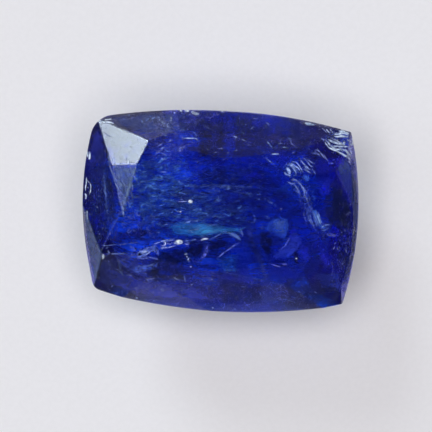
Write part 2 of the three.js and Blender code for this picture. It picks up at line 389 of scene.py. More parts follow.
# ---- materials -------------------------------------------------------------------------------------
class Nodes:
    def __init__(self, tree):
        self.nt = tree

    def new(self, kind, **props):
        n = self.nt.nodes.new(kind)
        for k, v in props.items():
            setattr(n, k, v)
        return n

    def put(self, socket, value):
        if hasattr(value, "is_output") or hasattr(value, "links"):
            self.nt.links.new(value, socket)
        else:
            socket.default_value = value

    def attr(self, name, out="Fac"):
        return self.new("ShaderNodeAttribute", attribute_name=name).outputs[out]

    def math(self, op, a, b=None, clamp=False):
        n = self.new("ShaderNodeMath", operation=op, use_clamp=clamp)
        self.put(n.inputs[0], a)
        if b is not None:
            self.put(n.inputs[1], b)
        return n.outputs[0]

    def vmath(self, op, a, b=None, scale=None):
        n = self.new("ShaderNodeVectorMath", operation=op)
        self.put(n.inputs[0], a)
        if b is not None:
            self.put(n.inputs[1], b)
        if scale is not None:
            self.put(n.inputs["Scale"], scale)
        return n.outputs["Value"] if op in ("DOT_PRODUCT", "LENGTH", "DISTANCE") else n.outputs[0]

    def ramp(self, x, a, b, c=0.0, d=1.0, kind="SMOOTHSTEP"):
        n = self.new("ShaderNodeMapRange", interpolation_type=kind)
        for name, v in (("Value", x), ("From Min", a), ("From Max", b), ("To Min", c), ("To Max", d)):
            self.put(n.inputs[name], v)
        return n.outputs[0]

    def noise(self, vec, scale, detail=2.0, rough=0.5, distort=0.0):
        n = self.new("ShaderNodeTexNoise")
        self.put(n.inputs["Vector"], vec)
        n.inputs["Scale"].default_value = scale
        n.inputs["Detail"].default_value = detail
        n.inputs["Roughness"].default_value = rough
        n.inputs["Distortion"].default_value = distort
        return n.outputs[0]

    def mix_rgb(self, f, a, b, blend="MIX"):
        n = self.new("ShaderNodeMix", data_type="RGBA", blend_type=blend)
        self.put(n.inputs["Factor"], f)
        self.put(n.inputs["A"], a)
        self.put(n.inputs["B"], b)
        return n.outputs["Result"]

    def bump(self, height, distance, strength=1.0, normal=None):
        n = self.new("ShaderNodeBump")
        n.inputs["Strength"].default_value = strength
        n.inputs["Distance"].default_value = distance
        self.put(n.inputs["Height"], height)
        if normal is not None:
            self.put(n.inputs["Normal"], normal)
        return n.outputs[0]

    def millimetres(self):
        tc = self.new("ShaderNodeTexCoord")
        return self.vmath("SCALE", tc.outputs["Object"], scale=1000.0)


def material(name):
    m = bpy.data.materials.new(name)
    m.use_nodes = True
    nt = m.node_tree
    nt.nodes.clear()
    out = nt.nodes.new("ShaderNodeOutputMaterial")
    return m, Nodes(nt), out


def principled(n, out, **values):
    p = n.new("ShaderNodeBsdfPrincipled")
    for k, v in values.items():
        n.put(p.inputs[k.replace("_", " ")], v)
    n.nt.links.new(p.outputs[0], out.inputs["Surface"])
    return p


def sheet_material(name, across, along, low, high, soft_noise, roughness, metallic, bump=0.0, floor=0.35, shine=0.5,
                   deep=(0.62, 0.72, 0.9, 1)):
    """A broken, fibrous sheet: its own tint, let through where a stretched noise runs low."""
    m, n, out = material(name)
    grain = n.attr("grain", "Vector")
    stretched = n.vmath("MULTIPLY", grain, (across, along, 1.0))
    fibre = n.noise(stretched, 1.0, 3.0, 0.6, 0.3)
    mm = n.millimetres()
    cloud = n.noise(mm, soft_noise, 2.0, 0.55)
    mask = n.math("MULTIPLY", n.ramp(fibre, low, high), n.ramp(cloud, 0.3, 0.62, floor, 1.0))
    alpha = n.math("MULTIPLY", n.attr("fade"), mask, clamp=True)
    tint = n.attr("tint", "Color")
    colour = n.mix_rgb(n.ramp(cloud, 0.35, 0.7), n.mix_rgb(1.0, tint, deep, "MULTIPLY"), tint)
    p = principled(n, out, Base_Color=colour, Roughness=roughness, Metallic=metallic, Alpha=alpha)
    p.inputs["Specular IOR Level"].default_value = shine
    if bump:
        n.nt.links.new(n.bump(fibre, bump), p.inputs["Normal"])
    return m


class Needles:
    """Closed slivers, pointed at both ends: silk, broken crystals and bright specks."""

    def __init__(self, seed=1):
        self.v, self.f, self.tint = [], [], []
        self.count = 0
        self.rng = random.Random(seed)

    def sliver(self, centre, direction, length, radius, rgb):
        d = unit(direction)
        a = np.cross(d, (0.0, 0.0, 1.0) if abs(d[2]) < 0.9 else (1.0, 0.0, 0.0))
        a = unit(a)
        b = np.cross(d, a)
        r = self.rng
        turn = r.random() * 6.28
        ring = [
            centre + d * length * r.uniform(-0.15, 0.15)
            + radius * (math.cos(turn + k * 2.094) * a + math.sin(turn + k * 2.094) * b)
            for k in range(3)
        ]
        base = self.count
        self.v += [centre - d * length / 2, centre + d * length / 2] + ring
        for k in range(3):
            p, q = base + 2 + k, base + 2 + (k + 1) % 3
            self.f += [(base, q, p), (base + 1, p, q)]
        self.tint += [rgb] * 5
        self.count += 5

    def cloud(self, path, spread, count, length, radius, angle=0.0, fan=0.3, depth=(0.2, 0.6), rgb=(0.7, 0.85, 1.0),
              rise=0.15, skin=False, vary=0.4, bunch=0.0, bunch_scale=2.0):
        """Slivers about a path in plan, lying at an angle from +X (None: along the path)."""
        pts, t = smooth_path(path, 0.05) if len(path) > 1 else (np.array([path[0]] * 2, float), None)
        r = self.rng
        seed = r.random() * 40
        made = tries = 0
        while made < count and tries < count * 8:
            tries += 1
            i = min(len(pts) - 2, int(r.random() * (len(pts) - 1)))
            step = pts[i + 1] - pts[i]
            d = unit(step) if np.linalg.norm(step) > 1e-9 else np.array((1.0, 0.0))
            c = pts[i] + np.array((r.gauss(0, 0.5), r.gauss(0, 0.5))) * spread
            if bunch and noise.noise(Vector((c[0] * bunch_scale, c[1] * bunch_scale * 2.2, seed))) < r.uniform(-0.5, bunch):
                continue
            made += 1
            a = math.radians(angle) if angle is not None else math.atan2(d[1], d[0])
            a += r.gauss(0, fan)
            n = PLANE_N[facet_at(c)]
            way = np.array((math.cos(a), math.sin(a), r.gauss(0, rise)))
            dim = 1 - vary * r.random()
            ln = length * r.uniform(0.4, 1.5)
            rad = radius * r.uniform(0.6, 1.35)
            if skin:
                way -= n * (way @ n)
                p = on_skin(c, 0.0)[0] - n * (rad * 0.4)
            else:
                dp = r.uniform(*depth)
                p = clear_of_skin(under(c, dp), rad + 0.01)[0]
            self.sliver(p, way, ln, rad, tuple(x * dim for x in rgb))

    def build(self, name, mat):
        me = bpy.data.meshes.new(name)
        me.from_pydata([tuple(p * MM) for p in self.v], [], self.f)
        me.update()
        at = me.attributes.new("tint", "FLOAT_COLOR", "POINT")
        tint = np.array(self.tint)
        at.data.foreach_set("color", np.column_stack([tint, np.ones(len(tint))]).astype(np.float32).ravel())
        me.shade_smooth()
        o = link(bpy.data.objects.new(name, me))
        o.data.materials.append(mat)
        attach(o, "root")
        print(name, len(me.polygons), "faces")
        return o


# ---- the stone --------------------------------------------------------------------------------------
EDGE_WEAR = 0.013
faces_before = [(f.normal.copy(), f.calc_center_median().z) for f in bm.faces]
bmesh.ops.bevel(
    bm,
    geom=list(bm.edges),
    offset=EDGE_WEAR,
    segments=2,
    profile=0.6,
    affect="EDGES",
    clamp_overlap=True,
    loop_slide=True,
)
bmesh.ops.remove_doubles(bm, verts=bm.verts, dist=1e-4)
facet_n = np.array([n[:] for n, _ in faces_before])
mask = []
for f in bm.faces:
    flat = (facet_n @ np.array(f.normal[:])).max() > 0.99995
    z = f.calc_center_median().z
    mask.append((0.0 if flat else 1.0, 1.0 if f.normal.z < -0.15 else 0.0))
print("stone faces", len(bm.faces), "open edges", sum(1 for e in bm.edges if not e.is_manifold))
# A hair smaller than the CAD stone, so that specks on its skin stay inside the CAD box.
shrink = 0.9988
bmesh.ops.transform(bm, matrix=Matrix.Diagonal((shrink, shrink, shrink, 1)), verts=bm.verts)
me = bpy.data.meshes.new("stone")
bmesh.ops.scale(bm, vec=(MM,) * 3, verts=bm.verts)
bm.to_mesh(me)
bm.free()
for k, name in enumerate(("worn", "pavilion")):
    at = me.attributes.new(name, "FLOAT", "FACE")
    at.data.foreach_set("value", [m[k] for m in mask])
stone = link(bpy.data.objects.new("stone", me))
PLANE_D *= shrink


def stone_material():
    m, n, out = material("tanzanite")
    mm = n.millimetres()
    sep = n.new("ShaderNodeSeparateXYZ")
    n.put(sep.inputs[0], mm)
    z = sep.outputs["Z"]
    worn, pavilion = n.attr("worn"), n.attr("pavilion")
    # polish lines and a faint orange peel; on the pavilion, growth lines and pits that break up what it reflects
    lines = n.noise(n.vmath("MULTIPLY", mm, (1.2, 14.0, 3.0)), 1.0, 3.0, 0.6, 0.4)
    peel = n.noise(mm, 9.0, 2.0, 0.5)
    pits = n.noise(mm, 3.2, 4.0, 0.62, 0.6)
    rough = n.math("ADD", n.math("MULTIPLY", pavilion, n.ramp(pits, 0.3, 0.7, PAV_ROUGH[0], PAV_ROUGH[1])),
                   n.math("MULTIPLY", worn, 0.16))
    crown = n.math("SUBTRACT", 1.0, pavilion)
    rough = n.math("ADD", rough, n.math("MULTIPLY", crown, n.ramp(peel, 0.5, 0.8, 0.0, 0.05)))
    # handling haze: more on the slopes and rim than on the table
    smear = n.noise(n.vmath("MULTIPLY", mm, (0.5, 1.6, 1.0)), 1.0, 4.0, 0.6, 0.3)
    slope = n.ramp(z, 4.95, 5.22, 1.0, 0.0)
    haze = n.math("ADD", n.math("MULTIPLY", slope, n.ramp(smear, 0.35, 0.65, COAT[1], COAT[2])),
                  n.ramp(smear, 0.3, 0.7, COAT[0] * 0.5, COAT[0]))
    haze = n.math("MAXIMUM", n.math("MULTIPLY", haze, crown), n.math("MULTIPLY", worn, 0.7), clamp=True)
    p = principled(n, out, Base_Color=(1, 1, 1, 1), IOR=IOR, Transmission_Weight=1.0, Roughness=rough,
                   Coat_Weight=haze, Coat_Roughness=0.42, Coat_IOR=1.5)
    p.inputs["Coat Tint"].default_value = (0.93, 0.95, 1.0, 1)
    skin = n.bump(n.math("ADD", n.math("MULTIPLY", lines, 0.6), n.math("MULTIPLY", peel, 0.4)), 0.0000012, 0.5)
    deep = n.bump(n.math("MULTIPLY", pits, pavilion), PAV_BUMP, 1.0, skin)
    n.nt.links.new(deep, p.inputs["Normal"])
    v = n.new("ShaderNodeVolumeAbsorption")
    v.inputs["Color"].default_value = ABSORB
    v.inputs["Density"].default_value = DENSITY
    n.nt.links.new(v.outputs[0], out.inputs["Volume"])
    return m


PAV_ROUGH = (0.03, 0.14)
PAV_BUMP = 0.00003
COAT = (0.04, 0.06, 0.3)
ABSORB = (0.071, 0.48, 0.93, 1)
DENSITY = 700.0
stone.data.materials.append(stone_material())
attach(stone, "root")
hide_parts("gemstone")

# ---- what is sealed in the stone ---------------------------------------------------------------------
PALE = (0.62, 0.78, 1.0)
ICE = (0.42, 0.6, 1.0)
BLUE = (0.22, 0.42, 1.0)
TEAL = (0.16, 0.66, 1.0)
ULTRA = (0.1, 0.12, 1.0)
LILAC = (0.4, 0.4, 1.0)
VIOLET = (0.3, 0.22, 0.9)
NAVY = (0.003, 0.008, 0.05)
INK = (0.008, 0.006, 0.035)

fibres = Layer(11)  # broken, fibrous fracture faces
flakes_and_painted_glints = Layer(12)  # smoother fracture faces, and vivid patches that paint the blue light the pavilion reflects back
clouds_and_painted_reflection = Layer(13)  # soft veils of the finest inclusions; the ultramarine ones well down paint the pavilion's blue reflections
chips = Layer(15)  # chips, and fractures that reach the surface
painted_shade_veils = Layer(14)  # dark sheets put where the stone looks dark: painted shade
# the broad sheets: height, size, fade, gain, waves, seed; their left and right tints paint the blue light that the
# pavilion would send back
HAZE_AND_PAVILION_LIGHT = ((3.5, 0.97, 0.85, 1.0, 0.1, 3), (2.6, 0.86, 0.85, 1.0, 0.12, 8))
HAZE_AND_PAVILION_LIGHT_LEFT = (0.085, 0.25, 1.0)
HAZE_AND_PAVILION_LIGHT_RIGHT = (0.024, 0.076, 0.5)
silk = Needles(21)  # fine needles all through the stone
sparks = Needles(22)  # brighter slivers and crystals

# Broad sheets of the finest silk run through the whole stone. They veil the pavilion, and their reflective tint, teal
# on the left and ultramarine on the right, paints the blue light that the pavilion would send back: part silk haze,
# part painted reflection.
RIM = [(4.9, 3.0), (2.5, 3.55), (0.3, 3.7), (-2.5, 3.5), (-4.7, 3.0), (-5.1, 1.5), (-5.2, -0.3), (-4.8, -2.9),
       (-2.5, -3.5), (0.0, -3.75), (2.5, -3.55), (4.8, -3.1), (5.1, -1.5), (5.2, 0.3)]


def sheet(z, size, fade, rgb_left, rgb_right, waves, seed):
    """A broad sheet turned a little to the light; its tint, blended from left to right, paints the pavilion's blue
    light.
    """
    silk_and_pavilion_light.patch([(x * size, y * size) for x, y in RIM], 0.0, fade, soft=0.45, cell=0.12, along=(1, 0.06))
    v = silk_and_pavilion_light.v[-1]
    v[:, 2] = z + 0.07 * v[:, 0] - 0.13 * v[:, 1] + waves * np.array([wander(p, seed, 0.8) for p in v])
    share = np.clip((v[:, :1] + 2.1) / 2.6, 0, 1)
    silk_and_pavilion_light.tint[-1] = np.asarray(rgb_left) * (1 - share) + np.asarray(rgb_right) * share
    silk_and_pavilion_light.v[-1] = clear_of_skin(v, 0.03)


silk_and_pavilion_light = Layer(16)
for z, size, fade, gain, waves, seed in HAZE_AND_PAVILION_LIGHT:
    sheet(z, size, fade, [gain * c for c in HAZE_AND_PAVILION_LIGHT_LEFT], [gain * c for c in HAZE_AND_PAVILION_LIGHT_RIGHT], waves, seed)

# The fracture that runs in from the left end, in steps, to the middle of the table.
fibres.patch([(-3.14, -1.73), (-3.08, -1.55), (-2.81, -1.47), (-2.61, -1.50), (-2.54, -1.35), (-2.43, -1.32), (-2.39, -1.54), (-2.64, -1.64),
              (-2.79, -1.76), (-3.02, -1.91), (-3.16, -1.91)], 0.10, 0.95, (0.3, 0.42, 0.95), soft=0.06, cell=0.03, along=(1, 0.35))
flakes_and_painted_glints.patch([(-2.69, -1.54), (-2.58, -1.33), (-2.39, -1.30), (-2.39, -1.56), (-2.56, -1.63)], 0.06, 0.6, (0.16, 0.24, 0.7), soft=0.06, cell=0.03)
# a dark spot in the fracture: painted shade
painted_shade_veils.patch([(-3.13, -1.69), (-3.03, -1.64), (-2.95, -1.70), (-3.02, -1.80), (-3.10, -1.81)], 0.05, 0.9, INK, soft=0.04, cell=0.02)
for path, width, fade, rgb in [
    ([(-2.37, -1.36), (-2.32, -1.79)], 0.05, 0.9, (0.3, 0.42, 0.9)),
    ([(-3.18, -1.91), (-2.90, -1.92), (-2.63, -1.83)], 0.05, 0.8, (0.4, 0.5, 0.95)),
    ([(-2.75, -1.82), (-2.51, -1.84), (-2.31, -1.91)], 0.04, 0.7, (0.3, 0.42, 0.9)),
    ([(-2.66, -1.34), (-2.43, -1.26), (-2.16, -1.15), (-1.90, -1.07), (-1.63, -1.01)], 0.045, 1.0, (0.4, 0.52, 0.95)),
    ([(-2.30, -1.45), (-1.95, -1.41), (-1.76, -1.32), (-1.57, -1.28)], 0.04, 0.9, (0.4, 0.52, 0.95)),
    ([(-1.39, -1.09), (-1.19, -1.06), (-1.00, -1.01), (-0.81, -0.96)], 0.05, 0.7, (0.35, 0.5, 0.9)),
    ([(-0.81, -0.97), (-0.55, -0.80), (-0.28, -0.66), (0.10, -0.59), (0.26, -0.64), (0.82, -0.82)], 0.035, 0.7, (0.2, 0.4, 0.85)),
    ([(0.80, -0.46), (0.94, -0.79)], 0.07, 0.5, (0.25, 0.38, 0.85)),
    ([(-4.73, -1.63), (-4.16, -1.51), (-3.48, -1.35), (-3.06, -1.25)], 0.035, 0.85, (0.5, 0.6, 0.9)),
    ([(-4.47, -1.90), (-4.02, -1.86), (-3.62, -1.77), (-3.18, -1.69)], 0.035, 0.8, (0.5, 0.6, 0.9)),
    ([(-3.52, -1.38), (-3.31, -1.51), (-3.15, -1.69)], 0.04, 0.5, (0.3, 0.4, 0.8)),
]:
    fibres.ribbon(path, width * 1.35, 0.07, fade, rgb, taper=0.2, jitter=0.02)
# its brightest spots and lines come up to the surface
for c, wide, high, turn in [
    ((-1.55, -1.15), 0.17, 0.105, 0.1), ((-1.68, -1.19), 0.065, 0.06, 0.3), ((-0.52, -0.95), 0.14, 0.045, 0.1), ((-0.65, -1.00), 0.06, 0.035, 0.2),
    ((-1.19, -1.14), 0.04, 0.03, 0.4), ((-1.24, -1.60), 0.07, 0.036, 0.2), ((-1.13, -1.79), 0.075, 0.035, 1.1), ((-1.19, -1.70), 0.05, 0.03, 2.3), ((-1.10, -1.87), 0.05, 0.026, 2.6),
    ((-1.01, -2.09), 0.05, 0.04, 0.3), ((-0.92, -2.87), 0.07, 0.036, 0.6), ((-3.11, -3.72), 0.06, 0.035, 0.2), ((-1.96, -1.23), 0.035, 0.025, 0.0),
]:
    c, du, dv = np.array(c), np.array((math.cos(turn), math.sin(turn))), np.array((-math.sin(turn), math.cos(turn)))
    chips.patch([c + wide * math.cos(a) * du + high * math.sin(a) * dv for a in np.linspace(0, 6.28, 11)[:-1]],
                fade=1.0, rgb=(0.92, 0.98, 1.0) if wide > 0.09 else (0.56, 0.66, 0.95), soft=0.025, cell=0.018, skin=True)
for path, width, fade, rgb in [
    ([(-2.28, -1.18), (-2.16, -1.14), (-2.06, -1.18), (-2.05, -1.28), (-2.13, -1.34), (-2.25, -1.33)], 0.06, 1.0, (0.75, 0.84, 1.0)),
    ([(-2.26, -1.43), (-2.03, -1.40), (-1.80, -1.35), (-1.61, -1.27)], 0.045, 1.0, (0.4, 0.48, 0.95)),
    ([(-2.05, -1.15), (-1.89, -1.10), (-1.74, -1.07)], 0.045, 0.9, (0.4, 0.48, 0.95)), ([(-1.94, -1.27), (-1.81, -1.22)], 0.04, 0.9, (0.4, 0.48, 0.95)),
    ([(-1.36, -1.17), (-1.22, -1.23), (-1.09, -1.15)], 0.04, 0.9, (0.4, 0.48, 0.95)),
    ([(-3.12, -1.88), (-3.16, -1.77), (-3.07, -1.65), (-2.92, -1.60), (-2.68, -1.56), (-2.62, -1.61), (-2.79, -1.73), (-2.98, -1.87), (-3.10, -1.88)],
     0.045, 0.9, (0.42, 0.54, 0.98)), ([(-2.99, -1.68), (-2.80, -1.62), (-2.70, -1.59)], 0.06, 0.9, (0.6, 0.7, 1.0)),
    ([(-2.88, -1.50), (-2.69, -1.45), (-2.54, -1.39), (-2.40, -1.35)], 0.045, 0.8, (0.2, 0.3, 0.75)), ([(-2.57, -1.45), (-2.47, -1.56), (-2.40, -1.68)], 0.04, 0.8, (0.2, 0.3, 0.75)),
    ([(-2.63, -1.84), (-2.43, -1.85), (-2.27, -1.89)], 0.04, 0.8, (0.2, 0.27, 0.65)),
    ([(-0.08, -1.74), (0.09, -1.58), (0.39, -1.31), (0.85, -0.96)], 0.036, 1.0, (0.26, 0.34, 0.8)),
    ([(-0.43, -1.03), (-0.26, -0.93), (0.11, -0.66), (0.26, -0.62)], 0.04, 0.8, (0.12, 0.24, 0.65)),
    ([(0.26, -0.62), (0.54, -0.69), (0.81, -0.89)], 0.036, 0.7, (0.12, 0.24, 0.6)), ([(0.34, -0.62), (0.66, -0.69), (0.92, -0.81)], 0.03, 0.6, (0.12, 0.24, 0.6)),
    ([(0.82, -0.46), (0.89, -0.62), (0.95, -0.75)], 0.06, 0.9, (0.16, 0.26, 0.65)),
    ([(-1.24, -2.49), (-1.22, -2.66), (-1.19, -2.81)], 0.06, 0.9, (0.2, 0.25, 0.6)), ([(-1.39, -2.54), (-1.25, -2.63)], 0.04, 0.8, (0.14, 0.18, 0.5)),
    ([(-0.29, -2.25), (-0.17, -2.35)], 0.045, 0.8, (0.13, 0.16, 0.6)), ([(-0.22, -2.20), (-0.06, -2.36)], 0.045, 0.8, (0.13, 0.16, 0.6)),
    ([(0.21, -2.15), (0.56, -2.10), (0.84, -2.12)], 0.035, 0.8, (0.06, 0.18, 0.55)),
    ([(-2.18, -3.05), (-1.99, -2.98), (-1.79, -3.01)], 0.05, 0.8, (0.14, 0.17, 0.5)), ([(-2.22, -3.20), (-2.08, -3.13), (-2.00, -3.25), (-2.14, -3.30)], 0.05, 0.9, (0.2, 0.24, 0.6)),
]:
    chips.ribbon(path, width, fade=fade, rgb=rgb, taper=0.25, jitter=0.015, skin=True)
sparks.cloud([(-2.38, -1.36), (-2.08, -1.26), (-1.66, -1.15)], 0.22, 50, 0.09, 0.011, None, 0.7, (0.03, 0.12), PALE, vary=0.5)
sparks.cloud([(-1.38, -1.23), (-1.11, -1.19)], 0.12, 12, 0.07, 0.009, 0, 1.0, (0.03, 0.1), PALE)
sparks.cloud([(-3.19, -1.65), (-2.65, -1.54)], 0.3, 40, 0.1, 0.008, 20, 0.8, (0.03, 0.12), ICE)
flakes_and_painted_glints.patch([(0.26, -0.62), (0.53, -0.60), (0.82, -0.76), (0.89, -0.93), (0.63, -0.85), (0.43, -0.75)], 0.2, 0.7, ICE, soft=0.06,
             cell=0.03)
# below it: pale feather, arc, fan and flakes
fibres.patch([(-3.40, -2.43), (-3.29, -2.26), (-2.93, -2.20), (-2.61, -2.19), (-2.31, -2.02), (-2.37, -2.26), (-2.72, -2.44), (-3.07, -2.62),
              (-3.28, -2.61)], 0.2, 0.9, (0.15, 0.23, 0.75), soft=0.08, cell=0.035, along=(1, 0.25), ragged=0.05, lit=1.0)
fibres.ribbon([(-3.36, -2.36), (-2.93, -2.22), (-2.53, -2.15), (-2.27, -1.99)], 0.09, 0.3, 0.6, PALE, jitter=0.03)
clouds_and_painted_reflection.ribbon([(-0.47, -1.03), (-0.41, -1.34), (-0.53, -1.62), (-0.75, -1.88)], 0.26, 0.2, 0.7, (0.22, 0.24, 0.9), taper=0.4, jitter=0.03)
fibres.ribbon([(-0.49, -1.07), (-0.43, -1.34), (-0.53, -1.62), (-0.67, -1.83)], 0.16, 0.12, 0.85, (0.36, 0.38, 0.95), taper=0.4, jitter=0.04)
flakes_and_painted_glints.ribbon([(-1.15, -1.75), (-0.82, -1.90), (-0.55, -1.82)], 0.1, 0.5, 0.5, LILAC)
fibres.ribbon([(-1.28, -2.42), (-1.23, -2.60), (-1.18, -2.82)], 0.07, 0.06, 0.9, ICE)
for k in range(26):
    u = k / 25
    fibres.ribbon([np.array((-0.12, -1.83)) * (1 - u) + np.array((0.09, -2.14)) * u,
                   np.array((0.94, -1.36)) * (1 - u) + np.array((1.03, -2.15)) * u],
                  0.03 + 0.012 * math.sin(k * 2.1), 0.5, 0.6, (0.06, 0.24, 0.75), taper=0.4, jitter=0.05)
clouds_and_painted_reflection.patch([(-0.25, -1.68), (0.15, -1.34), (0.78, -1.37), (1.04, -1.75), (0.91, -2.12), (0.14, -2.21), (-0.22, -2.08)], 1.0, 0.5, (0.03, 0.22, 0.7),
             soft=0.35, cell=0.06, along=(1, 0.1))
flakes_and_painted_glints.ribbon([(0.22, -2.21), (0.93, -2.31), (1.33, -2.39), (1.80, -2.44), (2.32, -2.54), (2.80, -2.64)], 0.045, 0.04, 0.35, ICE,
              taper=0.1)

# the streak down the left, and strokes near the girdle
for path, width, fade, rgb in [
    ([(-4.03, -1.82), (-3.85, -2.19), (-3.81, -2.54), (-3.63, -2.87)], 0.1, 0.85, ICE),
    ([(-4.72, 1.59), (-4.50, 0.04), (-4.39, -0.46), (-4.29, -0.72)], 0.09, 0.5, ICE),
    ([(-4.79, 1.38), (-4.65, 0.41)], 0.06, 0.3, BLUE),
    ([(-3.81, 0.15), (-3.76, -0.31)], 0.06, 0.9, PALE),
    ([(-3.97, -0.55), (-4.03, -0.96), (-4.09, -1.42)], 0.05, 0.35, LILAC),
    ([(-4.36, -0.89), (-4.23, -0.99), (-4.30, -1.12), (-4.38, -0.98)], 0.05, 0.55, LILAC),
    ([(-5.19, -1.58), (-4.86, -1.73), (-4.68, -1.92)], 0.05, 0.6, PALE),
    ([(-5.00, -1.60), (-4.55, -1.85)], 0.035, 0.4, PALE),
    ([(-4.86, -0.95), (-4.71, -1.32), (-4.65, -1.63)], 0.05, 0.3, ICE),
]:
    fibres.ribbon(path, width * 1.3, 0.12, fade, rgb, taper=0.3, jitter=0.03)
clouds_and_painted_reflection.ribbon([(-4.69, 1.71), (-4.46, 0.64), (-4.21, -0.59)], 0.45, 0.3, 0.3, BLUE, taper=0.3)

# the bright area in the middle of the table
flakes_and_painted_glints.patch([(-2.09, -0.55), (-1.64, -0.28), (-0.78, -0.26), (0.24, -0.39), (1.02, -0.37), (0.81, -0.66), (0.11, -0.71), (-0.27, -0.89),
              (-1.12, -0.96), (-1.83, -0.93)], 0.6, 1.0, (0.13, 0.6, 1.0), soft=0.28, cell=0.06, along=(1, 0.05), crumple=0.08, lit=1.0)
flakes_and_painted_glints.patch([(-1.71, -0.37), (-0.78, -0.26), (0.24, -0.35), (0.80, -0.50), (0.19, -0.70), (-0.74, -0.85), (-1.53, -0.75)], 0.5, 0.6, (0.13, 0.55, 1.0), soft=0.3,
             cell=0.06, along=(1, 0.05), lit=1.0)
flakes_and_painted_glints.patch([(-0.91, -0.62), (-0.53, -0.46), (-0.02, -0.48), (0.11, -0.63), (-0.35, -0.86), (-0.78, -0.87)], 0.4, 0.85, (0.15, 0.66, 1.0),
             soft=0.28, cell=0.05, along=(1, 0), lit=1.0)
for path, width, fade in [
    ([(-1.41, -0.38), (-1.20, -0.33), (-1.09, -0.26)], 0.07, 1.0),
    ([(-1.09, -0.30), (-0.80, -0.25)], 0.07, 0.9),
    ([(-1.40, -0.27), (-1.06, -0.20)], 0.04, 0.6),
    ([(-2.21, -0.50), (-1.93, -0.47)], 0.05, 0.6),
    ([(-2.12, -0.63), (-1.89, -0.61)], 0.05, 0.5),
    ([(-2.46, -0.83), (-2.26, -0.81)], 0.05, 0.5),
    ([(-0.61, -0.45), (-0.23, -0.36), (0.16, -0.35)], 0.05, 0.6),
    ([(-1.30, -0.69), (-0.91, -0.61), (-0.60, -0.56)], 0.05, 0.6),
    ([(-0.60, -0.09), (-0.25, -0.05), (0.14, -0.04)], 0.04, 0.4),
]:
    fibres.ribbon(path, width, 0.12, fade, ICE, taper=0.4)
silk.cloud([(-2.00, -0.70), (-0.75, -0.61), (0.95, -0.45)], 0.42, 240, 0.24, 0.006, 2, 0.15, (0.1, 0.9), TEAL, rise=0.05)
sparks.cloud([(-1.94, -0.46), (-0.58, -0.29)], 0.2, 40, 0.16, 0.006, 3, 0.12, (0.05, 0.3), ICE)

# the two white points
for c, s in [((-1.20, 0.48), 0.095), ((-1.56, 0.05), 0.045), ((-1.66, 0.05), 0.03), ((-1.78, 0.69), 0.03), ((-0.03, 2.20), 0.025),
             ((2.33, 0.43), 0.03), ((3.07, -1.47), 0.045), ((-4.69, 2.13), 0.03)]:
    c = np.array(c)
    chips.patch([c + s * np.array((1.15 * math.cos(a), 0.9 * math.sin(a))) for a in np.linspace(0, 6.28, 9)[:-1]],
                fade=1.0, rgb=(0.86, 0.94, 1.0), soft=0.035, cell=0.018, skin=True)
chips.ribbon([(-1.72, 0.43), (-1.53, 0.45), (-1.30, 0.48)], 0.04, fade=0.9, rgb=(0.5, 0.6, 1.0), taper=0.3, skin=True)
chips.ribbon([(-1.65, 0.52), (-1.46, 0.55)], 0.03, fade=0.5, rgb=(0.4, 0.5, 1.0), skin=True)

# wiggly strands left of the middle
for path, fade in [
    ([(-3.37, 0.03), (-3.20, -0.27), (-3.09, -0.07), (-2.93, -0.22)], 0.7), ([(-3.60, -0.74), (-3.50, -0.97), (-3.44, -0.76)], 0.6),
    ([(-3.37, -0.68), (-3.27, -0.95), (-3.21, -0.71)], 0.6), ([(-3.11, -0.35), (-3.05, -0.66)], 0.6), ([(-2.86, -0.61), (-2.69, -0.83)], 0.6),
    ([(-2.89, -0.84), (-2.73, -0.81), (-2.57, -0.96)], 0.7), ([(-3.55, 0.45), (-3.25, 0.53), (-2.97, 0.45)], 0.5),
    ([(-3.67, -0.19), (-3.50, -0.41), (-3.40, -0.21)], 0.5), ([(-2.74, -0.05), (-2.61, -0.27), (-2.47, -0.07)], 0.4),
    ([(-3.16, -0.78), (-2.99, -1.01), (-2.79, -1.07)], 0.5), ([(-3.81, -0.52), (-3.71, -0.83)], 0.4), ([(-2.64, -0.43), (-2.51, -0.70)], 0.4),
]:
    fibres.ribbon(path, 0.055, 0.2, fade, (0.55, 0.62, 1.0), taper=0.4, jitter=0.05)
silk.cloud([(-3.66, -0.27), (-3.11, -0.46), (-2.56, -0.50)], 0.55, 260, 0.16, 0.006, 80, 0.7, (0.1, 0.5), (0.5, 0.6, 1.0))

# silk across the table, mostly lying left to right
silk.cloud([(-3.38, 1.32), (-2.44, 1.23), (-1.46, 1.14)], 1.0, 1100, 0.2, 0.0052, 3, 0.25, (0.15, 1.0), (0.35, 0.7, 1.0), rise=0.06,
           bunch=0.25)
silk.cloud([(-3.56, 0.53), (-2.19, 0.39), (-0.43, 0.35)], 0.95, 1500, 0.22, 0.0052, 2, 0.2, (0.15, 1.0), (0.35, 0.7, 1.0),
           rise=0.06, bunch=0.25)
silk.cloud([(-1.64, 0.90), (0.31, 0.95), (1.79, 0.90)], 0.7, 700, 0.2, 0.005, 0, 0.25, (0.15, 0.8), (0.4, 0.55, 1.0), rise=0.06,
           bunch=0.3)
silk.cloud([(-2.35, -0.02), (-0.60, 0.03), (1.14, 0.15)], 0.6, 700, 0.18, 0.005, 2, 0.25, (0.15, 0.8), (0.35, 0.6, 1.0), rise=0.06,
           bunch=0.3)
silk.cloud([(-2.86, 1.79), (-0.92, 1.81), (1.41, 1.81)], 0.5, 400, 0.14, 0.005, 10, 0.5, (0.15, 0.6), (0.4, 0.5, 1.0), bunch=0.3)
silk.cloud([(-2.90, 2.27), (-1.78, 2.80), (-0.96, 2.41)], 0.7, 500, 0.12, 0.0055, 20, 0.8, (0.05, 0.5), LILAC, bunch=0.3)
silk.cloud([(0.14, 3.29), (1.72, 3.03), (3.31, 2.75)], 0.9, 500, 0.1, 0.005, 20, 0.9, (0.05, 0.5), LILAC, bunch=0.3)
